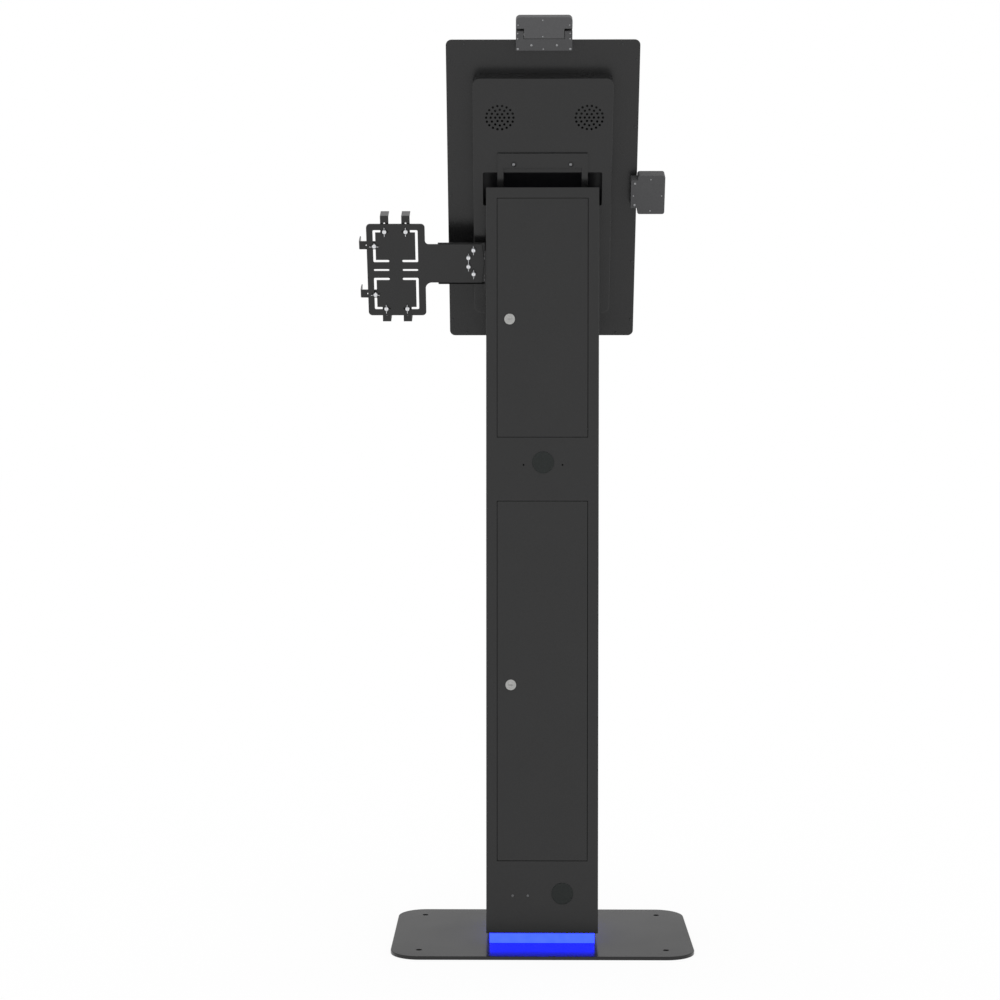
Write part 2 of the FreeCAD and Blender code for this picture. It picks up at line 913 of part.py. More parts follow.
def make_camera_bracket():
    half = camera_width / 2
    left, right = camera_x - half, camera_x + half
    base_top = camera_bottom + camera_base_height
    bracket = block(left, right, camera_bottom, base_top, -camera_depth, 0)
    ears = [
        block(left, left + camera_ear, camera_bottom, camera_ear_top, -camera_depth, 0),
        block(right - camera_ear, right, camera_bottom, camera_ear_top, -camera_depth, 0),
    ]
    bracket = joined(bracket, *ears)
    ear_front = -camera_lip - camera_lip_gap
    bracket = bracket.cut(block(
        left - 1, right + 1, camera_ear_step, camera_ear_top + 1, ear_front, 1
    ))
    pads = []
    for side in (-1, 1):
        ear_face = camera_x + side * (half - camera_ear)
        pad_face = ear_face - side * (camera_side_gap - camera_collar_gap)
        pads.append(block(
            min(ear_face, pad_face), max(ear_face, pad_face), base_top, base_top + camera_pad_height,
            -camera_pad_depth, 0
        ))
    bracket = joined(bracket, *pads)
    pivot_y, pivot_z = camera_pivot_place()
    cuts = [rod(
        camera_pivot / 2, (left + camera_pivot_inset, pivot_y, pivot_z),
        (right - camera_pivot_inset, pivot_y, pivot_z)
    )]
    for x, y in camera_screw_places():
        cuts.append(screw_hole(x, y, small_shank, -camera_depth - 1, 1))
    return slanted(bracket.cut(cuts))


def make_camera_head():
    half = camera_width / 2
    left, right = camera_x - half, camera_x + half
    shoulder = camera_top - camera_bar_height
    bar = block(left, right, shoulder, camera_top, -camera_depth, 0)
    corners = []
    for edge in bar.Edges:
        middle = edge.CenterOfMass
        if abs(middle.z + camera_depth / 2) < 1e-6 and abs(middle.y - camera_top) < 1e-6:
            corners.append(edge)
    bar = bar.makeFillet(camera_corner, corners)
    pivot_y, pivot_z = camera_pivot_place()
    tongue_left = left + camera_ear + camera_side_gap
    tongue_right = right - camera_ear - camera_side_gap
    bottom = pivot_y - camera_pivot_rise
    tongue = block(tongue_left, tongue_right, bottom, shoulder, -camera_depth, pivot_z)
    upper = block(tongue_left, tongue_right, pivot_y, shoulder, pivot_z, 0)
    knuckle = rod(camera_pivot_rise, (tongue_left, pivot_y, pivot_z), (tongue_right, pivot_y, pivot_z))
    lip = block(left, right, pivot_y + camera_lip_rise, shoulder, -camera_lip, 0)
    head = joined(bar, tongue, upper, knuckle, lip)
    bore = camera_pivot / 2 + running_fit
    lens_y = camera_top - camera_bar_height / 2
    cuts = [
        rod(bore, (tongue_left - 1, pivot_y, pivot_z), (tongue_right + 1, pivot_y, pivot_z)),
        rod(lens_diameter / 2 + screw_clearance, (camera_x, lens_y, -lens_seat), (camera_x, lens_y, 1)),
    ]
    return slanted(head.cut(cuts))


def make_camera_lens():
    y = camera_top - camera_bar_height / 2
    barrel = rod(lens_diameter / 2, (camera_x, y, -lens_seat), (camera_x, y, lens_proud))
    bowl = rod(
        lens_diameter / 2 - lens_rim, (camera_x, y, lens_proud - lens_bowl), (camera_x, y, lens_proud + 1)
    )
    return slanted(barrel.cut(bowl))


def make_camera_pivots():
    """Pivot pins, each with a collar that spaces the head from the ear."""
    y, z = camera_pivot_place()
    half = camera_width / 2
    pins = []
    for side in (-1, 1):
        outer = camera_x + side * (half - camera_pivot_inset)
        inner = camera_x + side * (half - camera_pivot_inset - camera_pivot_length)
        pin = rod(camera_pivot / 2, (outer, y, z), (inner, y, z))
        ear_face = camera_x + side * (half - camera_ear)
        collar_face = ear_face - side * (camera_side_gap - camera_collar_gap)
        collar = rod(camera_collar / 2, (ear_face, y, z), (collar_face, y, z))
        pins.append(slanted(joined(pin, collar)))
    return Part.makeCompound(pins)


def reader_flange_screw_places():
    x = -screen_width / 2 + reader_screw_inset
    low = reader_flange_bottom + reader_screw_end
    high = reader_flange_bottom + reader_flange_length - reader_screw_end
    return [(x, low), (x, high)]


def reader_outline():
    """Outer and inner x of the pod's body, beside the slab's edge."""
    inner = -screen_width / 2 - panel_gap
    return inner - reader_width, inner


def make_reader_shell():
    outer_x, inner_x = reader_outline()
    top = reader_bottom + reader_length
    body = round_block(outer_x, inner_x, reader_bottom, top, -reader_depth, 0, reader_corner)
    flange_top = reader_flange_bottom + reader_flange_length
    flange_x = -screen_width / 2 + reader_flange_width
    flange = block(inner_x - reader_wall, flange_x, reader_flange_bottom, flange_top, -reader_depth, 0)
    shell = joined(body, flange)
    hollow = block(
        outer_x + reader_wall, inner_x - reader_wall, reader_bottom + reader_wall,
        top - reader_wall, -reader_depth + reader_wall, 1
    )
    cuts = [hollow]
    for x, y in reader_flange_screw_places():
        cuts.append(screw_hole(x, y, small_shank, -reader_depth - 1, 1))
    return slanted(shell.cut(cuts))


def make_reader_window():
    outer_x, inner_x = reader_outline()
    top = reader_bottom + reader_length
    gap = reader_wall + reader_window_gap
    cover = block(
        outer_x + gap, inner_x - gap, reader_bottom + gap, top - gap, -reader_window_thickness, 0
    )
    board = block(
        outer_x + gap + reader_window_rim, inner_x - gap - reader_window_rim,
        reader_bottom + gap + reader_window_rim, top - gap - reader_window_rim,
        -reader_depth + reader_wall, -reader_window_thickness
    )
    return slanted(joined(cover, board))


def make_pod_screws():
    """Long screws that hold the camera bracket and the reader pod on the slab."""
    screws = []
    for x, y in camera_screw_places():
        length = camera_depth + sheet + screw_grip
        screw = rear_screw(x, y, camera_depth, small_head, small_head_height, small_shank, length)
        screws.append(slanted(screw))
    for x, y in reader_flange_screw_places():
        length = reader_depth + sheet + screw_grip
        screw = rear_screw(x, y, reader_depth, small_head, small_head_height, small_shank, length)
        screws.append(slanted(screw))
    return Part.makeCompound(screws)


def arm_screw_places():
    """Centres of the bracket's screws on the column's side, in the slab's y and z."""
    middle_y = arm_bottom + arm_height / 2
    middle_z = -arm_plane - arm_flange_depth / 2
    places = []
    for rise in (-1, 1):
        for run in (-1, 1):
            places.append((middle_y + rise * arm_screw_rise / 2, middle_z + run * arm_screw_run / 2))
    return places


def arm_screw_holes():
    half = column_width / 2
    radius = small_shank / 2 + screw_clearance
    return [slanted(rod(radius, (half - 2 * sheet, y, z), (half + 1, y, z))) for y, z in arm_screw_places()]


def arc_sector(radius, half_angle):
    """A flat wedge from the arc's centre, used to cut the curved slot."""
    centre = Vector(arc_centre_x, arc_centre_y, 0)
    angle = math.radians(half_angle)
    start = centre + Vector(radius * math.cos(angle), -radius * math.sin(angle), 0)
    end = centre + Vector(radius * math.cos(angle), radius * math.sin(angle), 0)
    middle = centre + Vector(radius, 0, 0)
    arc = Part.Arc(start, middle, end).toShape()
    edges = [Part.makeLine(centre, start), arc, Part.makeLine(end, centre)]
    return Part.Face(Part.Wire(edges))


def arm_slot(z0, z1):
    """Curved slot in the bracket through which the wing screws pass as the plate swings."""
    half_angle = 3 * arc_half_step + arc_swing
    half_width = slot_width / 2
    outer = arc_sector(arc_radius + half_width, half_angle)
    inner = arc_sector(arc_radius - half_width, half_angle)
    band = outer.cut(inner).extrude(Vector(0, 0, z1 - z0))
    band.translate(Vector(0, 0, z0))
    ends = []
    for side in (-1, 1):
        angle = math.radians(side * half_angle)
        x = arc_centre_x + arc_radius * math.cos(angle)
        y = arc_centre_y + arc_radius * math.sin(angle)
        ends.append(rod(half_width, (x, y, z0), (x, y, z1)))
    return joined(band, *ends)


def make_arm_bracket():
    side = column_width / 2
    low_z, high_z = -arm_plane, -arm_plane + arm_thickness
    top = arm_bottom + arm_height
    web = block(side, side + arm_reach, arm_bottom, top, low_z, high_z)
    flange = block(side, side + arm_thickness, arm_bottom, top, -arm_plane - arm_flange_depth, high_z)
    bracket = joined(web, flange)
    bends = ((side, high_z, arm_bend), (side + arm_thickness, low_z, arm_inner_bend))
    for bend_x, bend_z, bend_radius in bends:
        edges = []
        for edge in bracket.Edges:
            middle = edge.CenterOfMass
            if abs(middle.x - bend_x) < 1e-6 and abs(middle.z - bend_z) < 1e-6:
                edges.append(edge)
        bracket = bracket.makeFillet(bend_radius, edges)
    radius = small_shank / 2 + screw_clearance
    cuts = [arm_slot(low_z - 1, high_z + 1)]
    for y, z in arm_screw_places():
        cuts.append(rod(radius, (side - 1, y, z), (side + arm_thickness + 1, y, z)))
    return slanted(bracket.cut(cuts))


def make_arm_bracket_screws():
    face = column_width / 2 + arm_thickness
    screws = []
    for y, z in arm_screw_places():
        head = rod(small_head / 2, (face, y, z), (face + small_head_height, y, z))
        shank = rod(small_shank / 2, (column_width / 2 - arm_screw_depth, y, z), (face, y, z))
        screws.append(slanted(joined(head, shank)))
    return Part.makeCompound(screws)


def arm_wing_places():
    places = []
    for count in (-3, -1, 1, 3):
        angle = math.radians(count * arc_half_step)
        x = arc_centre_x + arc_radius * math.cos(angle)
        y = arc_centre_y + arc_radius * math.sin(angle)
        places.append((x, y))
    return places


def plate_back():
    """The terminal plate's service-side face, in the slab's z."""
    return -arm_plane - plate_gap - plate_thickness


def wing_screw(x, y, front, upright):
    """Wing screw on the plate's service side, with its nut beyond the plane z = front."""
    back = plate_back()
    hub = rod(wing_hub / 2, (x, y, back - wing_hub_height), (x, y, back))
    low = back - wing_hub_height - wing_height / 2
    half, thin = wing_span / 2, wing_thickness / 2
    if upright:
        wings = block(x - thin, x + thin, y - half, y + half, low, low + wing_height)
    else:
        wings = block(x - half, x + half, y - thin, y + thin, low, low + wing_height)
    shank = rod(wing_shank / 2, (x, y, back), (x, y, front + wing_nut_height + wing_shank_end))
    nut = rod(wing_nut / 2, (x, y, front), (x, y, front + wing_nut_height))
    return joined(hub, wings, shank, nut)


def slot_strip(x0, y0, x1, y1, z0, z1, width=slot_width):
    """A straight slot with round ends between two centres."""
    half = width / 2
    ends = [rod(half, (x0, y0, z0), (x0, y0, z1)), rod(half, (x1, y1, z0), (x1, y1, z1))]
    if y0 == y1:
        middle = block(min(x0, x1), max(x0, x1), y0 - half, y0 + half, z0, z1)
    else:
        middle = block(x0 - half, x0 + half, min(y0, y1), max(y0, y1), z0, z1)
    return joined(middle, *ends)


def terminal_slots(z0, z1):
    slots = []
    for side in (-1, 1):
        outer_x = slot_centre_x + side * slot_column
        inner_x = slot_centre_x + side * slot_inner
        slots.append(slot_strip(
            outer_x, plate_middle_y, inner_x, plate_middle_y, z0, z1, middle_slot_width
        ))
        for up in (-1, 1):
            near_y = plate_middle_y + up * slot_near_row
            far_y = plate_middle_y + up * slot_far_row
            slots.append(slot_strip(outer_x, near_y, inner_x, near_y, z0, z1))
            slots.append(slot_strip(outer_x, far_y, inner_x, far_y, z0, z1))
            slots.append(slot_strip(outer_x, near_y, outer_x, far_y, z0, z1))
    return slots


def make_terminal_plate():
    back, front = plate_back(), plate_back() + plate_thickness
    plate = round_block(plate_right, plate_left, plate_bottom, plate_top, back, front, plate_corner)
    neck_top = neck_bottom + neck_height
    neck_root = plate_right + 2 * plate_corner
    neck = round_block(neck_end, neck_root, neck_bottom, neck_top, back, front, neck_corner)
    neck = neck.cut([neck_end_cut(side, back - 1, front + 1) for side in (-1, 1)])
    plate = joined(plate, neck)
    top_fillet = concave_corner(plate_right, neck_top, neck_fillet_top, 1, back, front)
    bottom_fillet = concave_corner(plate_right, neck_bottom, neck_fillet_bottom, -1, back, front)
    plate = joined(plate, top_fillet, bottom_fillet)
    cuts = terminal_slots(back - 1, front + 1)
    for x, y in arm_wing_places():
        cuts.append(screw_hole(x, y, wing_shank, back - 1, front + 1))
    return slanted(plate.cut(cuts))


def neck_end_cut(side, z0, z1):
    """What comes off one corner of the neck's end, so that it clears the column when it swings."""
    reach = neck_height
    cut = block(neck_end - reach, neck_end, arc_centre_y - reach, arc_centre_y + reach, z0, z1)
    apex = Vector(neck_end, arc_centre_y, 0)
    cut.rotate(apex, Vector(0, 0, 1), side * (arc_swing + neck_clearance))
    return cut


def concave_corner(x, y, radius, side, z0, z1):
    """Fills the inner corner between the neck and the plate with a quarter-round web."""
    far_y = y + side * radius
    corner = block(x - radius, x, min(y, far_y), max(y, far_y), z0, z1)
    return corner.cut(rod(radius, (x - radius, far_y, z0 - 1), (x - radius, far_y, z1 + 1)))


def make_arm_wing_screws():
    front = -arm_plane + arm_thickness + plate_gap
    return Part.makeCompound([slanted(wing_screw(x, y, front, True)) for x, y in arm_wing_places()])


def edge_lies_at(edge, y, z):
    """Whether a straight edge runs along x at this y and z."""
    box = edge.BoundBox
    return max(abs(box.YMin - y), abs(box.YMax - y), abs(box.ZMin - z), abs(box.ZMax - z)) < 1e-6


def make_hook(x, y, turn):
    """A strip with a turned-in lip; turn is the way it points, in degrees from the slab's +y."""
    low, high = -arm_plane, -arm_plane + hook_thickness
    half = hook_width / 2
    strip = round_block(-half, half, -half, hook_reach, low, high, hook_corner)
    lip = block(-half, half, hook_reach - hook_thickness, hook_reach, low, low + hook_lip)
    hook = joined(strip, lip)
    end = hook_reach
    hook = joined(hook, block(-half, half, end - 2 * hook_thickness, end, low, high))
    bend = [edge for edge in hook.Edges if edge_lies_at(edge, end, low)]
    hook = hook.makeFillet(hook_bend, bend)
    inner_bend = [edge for edge in hook.Edges if edge_lies_at(edge, end - hook_thickness, high)]
    hook = hook.makeFillet(hook_inner_bend, inner_bend)
    holes = []
    for place, radius in ((0, wing_shank / 2 + screw_clearance), (hook_hole_pitch, hook_spare_hole / 2)):
        holes.append(rod(radius, (0, place, low - 1), (0, place, high + 1)))
    hook = hook.cut(holes)
    hook.rotate(Vector(0, 0, 0), Vector(0, 0, 1), turn)
    hook.translate(Vector(x, y, 0))
    return slanted(hook)


def hook_places():
    """Name, clamp centre and pointing direction of the six hooks."""
    far = slot_far_row
    places = []
    for name, side in (("inner", -1), ("outer", 1)):
        x = slot_centre_x + side * hook_top_x
        places.append(("top_" + name, x, plate_middle_y + far, 0))
        places.append(("bottom_" + name, x, plate_middle_y - far, 180))
    x = slot_centre_x + slot_column
    for name, side in (("upper", 1), ("lower", -1)):
        places.append(("side_" + name, x, plate_middle_y + side * hook_side_y, -90))
    return places


def make_printer_shelf():
    half = column_width / 2 - sheet
    front = column_front + 2 * sheet
    shelf = block(-half, half, front, shelf_rear, shelf_top - shelf_sheet, shelf_top)
    flanges = []
    for side in (-1, 1):
        wall, inner = side * half, side * (half - shelf_sheet)
        flanges.append(block(
            min(wall, inner), max(wall, inner), front, shelf_rear,
            shelf_top - shelf_return, shelf_top
        ))
    return joined(shelf, *flanges)


def printer_box():
    front = column_front + 2 * sheet + printer_front_gap
    return front, front + printer_depth


def roll_place():
    front, rear = printer_box()
    return (front + rear) / 2 + printer_hinge_setback / 2, shelf_top + roll_height


def make_receipt_printer():
    front, rear = printer_box()
    half, top = printer_width / 2, shelf_top + printer_height
    body = block(-half, half, front, rear, shelf_top, top)
    y, z = roll_place()
    reach = roll_diameter / 2 + roll_clearance
    bay_half = roll_width / 2 + roll_clearance
    bay = joined(
        rod(reach, (-bay_half, y, z), (bay_half, y, z)),
        block(-bay_half, bay_half, y - reach, y + reach, z, top + 1)
    )
    throat = block(
        -bezel_slot_width / 2, bezel_slot_width / 2, front - 1, y,
        slot_opening_z - bezel_slot_height / 2, slot_opening_z + bezel_slot_height / 2
    )
    spindle = rod(roll_core / 2, (-bay_half - 1, y, z), (bay_half + 1, y, z))
    body = joined(body.cut([bay, throat.cut(spindle)]), spindle)
    lug_y, hinge_z = printer_hinge()
    lugs = []
    for side in (-1, 1):
        outer, inner = side * half, side * (half - printer_wall)
        lugs.append(block(
            min(outer, inner), max(outer, inner), lug_y - printer_lug / 2, lug_y + printer_lug / 2,
            top - 1, hinge_z + printer_lug / 2
        ))
    pin = rod(printer_hinge_pin / 2, (-half, lug_y, hinge_z), (half, lug_y, hinge_z))
    return joined(body, *lugs, pin)


def printer_hinge():
    front = printer_box()[0]
    top = shelf_top + printer_height
    return front + printer_hinge_setback, top + printer_cover_gap + printer_knuckle / 2


def make_printer_cover():
    front, rear = printer_box()
    y, z = printer_hinge()
    half = printer_width / 2 - printer_wall - printer_cover_gap
    low = z - printer_cover_thickness / 2
    cover = block(-half, half, y, rear, low, low + printer_cover_thickness)
    knuckle = rod(printer_knuckle / 2, (-half, y, z), (half, y, z))
    half_grip = printer_grip_width / 2
    grip = block(-half_grip, half_grip, rear, rear + printer_grip, low, low + printer_cover_thickness)
    bore = rod(printer_hinge_pin / 2 + running_fit, (-half - 1, y, z), (half + 1, y, z))
    return joined(cover, knuckle, grip).cut(bore)


def make_paper_roll():
    y, z = roll_place()
    half = roll_width / 2
    roll = rod(roll_diameter / 2, (-half, y, z), (half, y, z))
    return roll.cut(rod(roll_core / 2 + running_fit, (-half - 1, y, z), (half + 1, y, z)))


def make_receipt_bezel():
    half, high = bezel_width / 2, bezel_height / 2
    face = column_front - bezel_proud
    z = slot_opening_z
    rim = block(-half, half, face, column_front, z - high, z + high)
    rim = rim.makeChamfer(bezel_chamfer, [
        edge for edge in rim.Edges if abs(edge.CenterOfMass.y - face) < 1e-6
    ])
    inner_x = slot_opening_width / 2 - panel_gap
    inner_z = slot_opening_height / 2 - panel_gap
    snout = block(
        -inner_x, inner_x, column_front, printer_box()[0] - bezel_snout_gap,
        z - inner_z, z + inner_z
    )
    slot = block(
        -bezel_slot_width / 2, bezel_slot_width / 2, face - 1, printer_box()[0],
        z - bezel_slot_height / 2, z + bezel_slot_height / 2
    )
    return joined(rim, snout).cut(slot)


def rocker_place():
    """Centre of the rocker on the power supply's top."""
    return supply_rear - rocker_from_rear, column_bottom + floor_sheet + supply_height


def make_power_supply():
    low = column_bottom + floor_sheet
    top = low + supply_height
    half = supply_width / 2
    case = block(-half, half, supply_rear - supply_depth, supply_rear, low, top)
    y, z = rocker_place()
    well_x, well_y = rocker_width / 2 + rocker_gap, rocker_length / 2 + rocker_gap
    depth = rocker_thickness + rocker_gap
    case = case.cut(block(-well_x, well_x, y - well_y, y + well_y, z - depth, z + 1))
    pin_z = z - rocker_thickness / 2
    pin = rod(rocker_pin / 2, (-well_x - 1, y, pin_z), (well_x + 1, y, pin_z))
    return joined(case, pin)


def make_power_switch():
    """A rocker that tips about its pin; its upper face is two shallow ramps."""
    y, z = rocker_place()
    pin_z = z - rocker_thickness / 2
    half_x, half_y = rocker_width / 2, rocker_length / 2
    low = z - rocker_thickness + rocker_floor
    points = [
        Vector(-half_x, y - half_y, low), Vector(-half_x, y + half_y, low),
        Vector(-half_x, y + half_y, z + rocker_ramp), Vector(-half_x, y, z),
        Vector(-half_x, y - half_y, z + rocker_ramp),
    ]
    face = Part.Face(Part.makePolygon(points + [points[0]]))
    rocker = face.extrude(Vector(2 * half_x, 0, 0))
    bore = rod(rocker_pin / 2 + running_fit, (-half_x - 1, y, pin_z), (half_x + 1, y, pin_z))
    return rocker.cut(bore)


def main():
    os.makedirs("parts", exist_ok=True)
    save("base_plate", make_base_plate())
    save("column_foot", make_column_foot())
    save("light_diffuser", make_light_diffuser())
    save("led_strip", make_led_strip())
    save("foot_bolts", make_foot_bolts())
    save("column_shell", make_column_shell())
    save("column_front_panel", make_column_front_panel())
    save("hinge_pins", make_hinge_pins())
    save("cable_caps", make_cable_caps())
    save("earth_screws", make_earth_screws())
    locks = ((upper_lock_x, upper_lock_height), (lower_lock_x, lower_lock_height))
    for name, place, lock in zip(("upper", "lower"), door_places(), locks):
        bottom, height = place
        lock_x, lock_z = lock[0], bottom + lock[1]
        save(name + "_door", make_door(bottom, height, lock_x, lock_z))
        body, plug, cam = lock_pieces(lock_x, lock_z)
        save(name + "_lock_body", body)
        save(name + "_lock_plug", plug)
        save(name + "_lock_cam", cam)
    save("mounting_plate", make_mounting_plate())
    save("mounting_bolts", make_mounting_bolts())
    save("hanger_bracket", make_hanger_bracket())
    save("hanger_screws", make_hanger_screws())
    save("rear_cover", make_rear_cover())
    save("rear_cover_screws", make_rear_cover_screws())
    save("screen_frame", make_screen_frame())
    save("screen_glass", make_screen_glass())
    save("lcd_panel", make_lcd_panel())
    save("speakers", make_speakers())
    save("main_board", make_main_board())
    save("camera_bracket", make_camera_bracket())
    save("camera_head", make_camera_head())
    save("camera_lens", make_camera_lens())
    save("camera_pivots", make_camera_pivots())
    save("reader_shell", make_reader_shell())
    save("reader_window", make_reader_window())
    save("pod_screws", make_pod_screws())
    save("arm_bracket", make_arm_bracket())
    save("arm_bracket_screws", make_arm_bracket_screws())
    save("arm_wing_screws", make_arm_wing_screws())
    save("terminal_plate", make_terminal_plate())
    nut_front = -arm_plane + hook_thickness + plate_gap
    for name, x, y, turn in hook_places():
        save(name + "_hook", make_hook(x, y, turn))
        save(name + "_wing_screw", slanted(wing_screw(x, y, nut_front, turn % 180 == 0)))
    save("printer_shelf", make_printer_shelf())
    save("receipt_printer", make_receipt_printer())
    save("printer_cover", make_printer_cover())
    save("paper_roll", make_paper_roll())
    save("receipt_bezel", make_receipt_bezel())
    save("power_supply", make_power_supply())
    save("power_switch", make_power_switch())


main()
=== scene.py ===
import json
import math
import bmesh
import bpy
from mathutils import Matrix, Vector

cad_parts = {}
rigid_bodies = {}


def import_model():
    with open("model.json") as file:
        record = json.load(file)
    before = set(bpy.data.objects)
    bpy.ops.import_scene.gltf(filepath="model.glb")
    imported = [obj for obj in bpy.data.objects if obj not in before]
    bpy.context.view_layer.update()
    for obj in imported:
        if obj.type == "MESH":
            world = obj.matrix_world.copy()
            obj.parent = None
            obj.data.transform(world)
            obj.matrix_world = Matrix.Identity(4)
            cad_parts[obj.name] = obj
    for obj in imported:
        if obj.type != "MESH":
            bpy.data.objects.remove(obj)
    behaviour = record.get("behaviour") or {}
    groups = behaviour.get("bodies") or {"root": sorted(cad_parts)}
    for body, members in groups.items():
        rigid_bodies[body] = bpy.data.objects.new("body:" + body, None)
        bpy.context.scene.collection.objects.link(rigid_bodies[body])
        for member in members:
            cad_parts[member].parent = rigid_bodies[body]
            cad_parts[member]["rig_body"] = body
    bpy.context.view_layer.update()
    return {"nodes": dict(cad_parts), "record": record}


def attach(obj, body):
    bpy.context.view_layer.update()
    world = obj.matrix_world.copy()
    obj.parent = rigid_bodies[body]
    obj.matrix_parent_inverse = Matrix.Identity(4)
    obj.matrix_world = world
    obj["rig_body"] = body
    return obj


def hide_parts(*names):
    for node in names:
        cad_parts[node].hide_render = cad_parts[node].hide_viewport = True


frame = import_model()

print("frame loaded")

def turnedAt(place, degrees, axis):
    # turns a piece about an axis, then moves it to its place
    return Matrix.Translation(place) @ Matrix.Rotation(math.radians(degrees), 4, axis)


# the slab's own slanted frame: x across, y up the slope, z out of the glass towards the user
slab = {"tilt": 23.84, "bottomY": -0.099, "bottomZ": 1.101}
slabPlace = turnedAt((0, slab["bottomY"], slab["bottomZ"]), 90 - slab["tilt"], "X")


# camera where the photograph was taken from, square picture
cameraSetup = {"place": (0.043548, 3.7212, 0.9392), "yaw": 0.502, "pitch": 2.17, "lens": 73.71,
               "sensor": 36, "farthest": 100}


def addCamera(setup):
    data = bpy.data.cameras.new("photoCamera")
    data.lens = setup["lens"]
    data.sensor_width = setup["sensor"]
    data.clip_end = setup["farthest"]
    camera = bpy.data.objects.new("photoCamera", data)
    bpy.context.scene.collection.objects.link(camera)
    yaw, pitch = math.radians(setup["yaw"]), math.radians(setup["pitch"])
    ahead = Vector((
        math.sin(yaw) * math.cos(pitch), -math.cos(yaw) * math.cos(pitch), -math.sin(pitch)))
    right = Vector((-math.cos(yaw), -math.sin(yaw), 0))
    up = right.cross(ahead)
    turn = Matrix((right, up, -ahead)).transposed()
    camera.matrix_world = Matrix.Translation(setup["place"]) @ turn.to_4x4()
    bpy.context.scene.camera = camera


addCamera(cameraSetup)


# small helpers for modelling by hand
def onlyThis(piece):
    if bpy.context.mode != "OBJECT":
        bpy.ops.object.mode_set(mode="OBJECT")
    bpy.ops.object.select_all(action="DESELECT")
    if piece:
        piece.select_set(True)
        bpy.context.view_layer.objects.active = piece


def editing(piece, mode="FACE"):
    onlyThis(piece)
    bpy.ops.object.mode_set(mode="EDIT")
    bpy.ops.mesh.select_mode(type=mode)
    bpy.ops.mesh.select_all(action="DESELECT")


def pick(piece, wanted):
    # selects the faces or edges that the test accepts, in edit mode
    mesh = bmesh.from_edit_mesh(piece.data)
    byFace = bpy.context.tool_settings.mesh_select_mode[2]
    for item in mesh.faces if byFace else mesh.edges:
        item.select_set(bool(wanted(item)))
    mesh.select_flush_mode()
    bmesh.update_edit_mesh(piece.data)


def doneEditing():
    bpy.ops.object.mode_set(mode="OBJECT")


level = {"upright": 0.99, "height": 1e-6}  # how nearly a face must lie level, and at its height


def facesAt(piece, height):
    # selects the flat faces that lie across z at this height
    pick(piece, lambda face: abs(face.normal.z) > level["upright"]
         and abs(face.calc_center_median().z - height) < level["height"])


def rimAt(piece, height):
    # selects the edges of an outline that lies level at this height
    pick(piece, lambda edge: all(abs(v.co.z - height) < level["height"] for v in edge.verts))


def modified(piece, kind, **settings):
    onlyThis(piece)
    modifier = piece.modifiers.new(kind.title(), kind)
    for key, value in settings.items():
        setattr(modifier, key, value)
    bpy.ops.object.modifier_apply(modifier=modifier.name)
    return piece


def bevelled(piece, width, angle=30):
    return modified(piece, "BEVEL", width=width, segments=2, limit_method="ANGLE",
                    angle_limit=math.radians(angle), use_clamp_overlap=False, harden_normals=False)


def cutWith(piece, cutter):
    modified(piece, "BOOLEAN", object=cutter, operation="DIFFERENCE", solver="EXACT")
    bpy.data.objects.remove(cutter)
    return piece


def unitedWith(piece, other):
    modified(piece, "BOOLEAN", object=other, operation="UNION", solver="EXACT")
    bpy.data.objects.remove(other)
    return piece


def smooth(piece, angle=35):
    # smooth faces with sharp creases; big flats keep their own normal
    onlyThis(piece)
    bpy.ops.object.shade_smooth_by_angle(angle=math.radians(angle))
    return modified(piece, "WEIGHTED_NORMAL", mode="FACE_AREA", weight=50, keep_sharp=True)


def cube(low, high):
    onlyThis(None)
    centre = [(a + b) / 2 for a, b in zip(low, high)]
    bpy.ops.mesh.primitive_cube_add(size=1, location=centre)
    piece = bpy.context.object
    piece.scale = [b - a for a, b in zip(low, high)]
    onlyThis(piece)
    bpy.ops.object.transform_apply(location=True, rotation=True, scale=True)
    return piece


def disc(radius, low, high, corners=32):
    onlyThis(None)
    bpy.ops.mesh.primitive_cylinder_add(
        vertices=corners, radius=radius, depth=high - low, location=(0, 0, (low + high) / 2))
    piece = bpy.context.object
    onlyThis(piece)
    bpy.ops.object.transform_apply(location=True, rotation=True, scale=True)
    return piece


def placed(piece, matrix):
    onlyThis(piece)
    piece.matrix_world = matrix
    bpy.ops.object.transform_apply(location=True, rotation=True, scale=True)
    return piece


def copyOf(piece, matrix):
    copy = bpy.data.objects.new(piece.name, piece.data.copy())
    bpy.context.scene.collection.objects.link(copy)
    return placed(copy, matrix)


def oneOf(pieces, name):
    onlyThis(pieces[0])
    for piece in pieces:
        piece.select_set(True)
    if len(pieces) > 1:
        bpy.ops.object.join()
    pieces[0].name = pieces[0].data.name = name
    return pieces[0]


def finishPiece(piece, name, body, slotName, *nodes, finish=None):
    piece.name = piece.data.name = name
    piece.data.materials.clear()
    piece.data.materials.append(finishes[finish or slotName])
    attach(piece, body)
    if nodes:
        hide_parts(*nodes)
    return piece


# materials, all procedural on object coordinates
# in a finish, grain, cloud, weave and smudge are a noise's scale and detail, rough is the span of
# its roughness, and relief is the bump's strength and its height in metres
def newFinish(name, look):
    finish = bpy.data.materials.new(name)
    finish.use_nodes = True
    shader = finish.node_tree.nodes["Principled BSDF"]
    shader.inputs["Base Color"].default_value = (*look["colour"], 1)
    shader.inputs["Roughness"].default_value = look["roughness"]
    shader.inputs["Metallic"].default_value = look.get("metallic", 0)
    shader.inputs["Specular IOR Level"].default_value = look.get("specular", 0.5)
    shader.inputs["Coat Weight"].default_value = look.get("coat", 0)
    if "coat" in look:
        shader.inputs["Coat Roughness"].default_value = look["coatRoughness"]
    return finish, finish.node_tree, shader


def objectPlace(tree):
    return tree.nodes.new("ShaderNodeTexCoord").outputs["Object"]


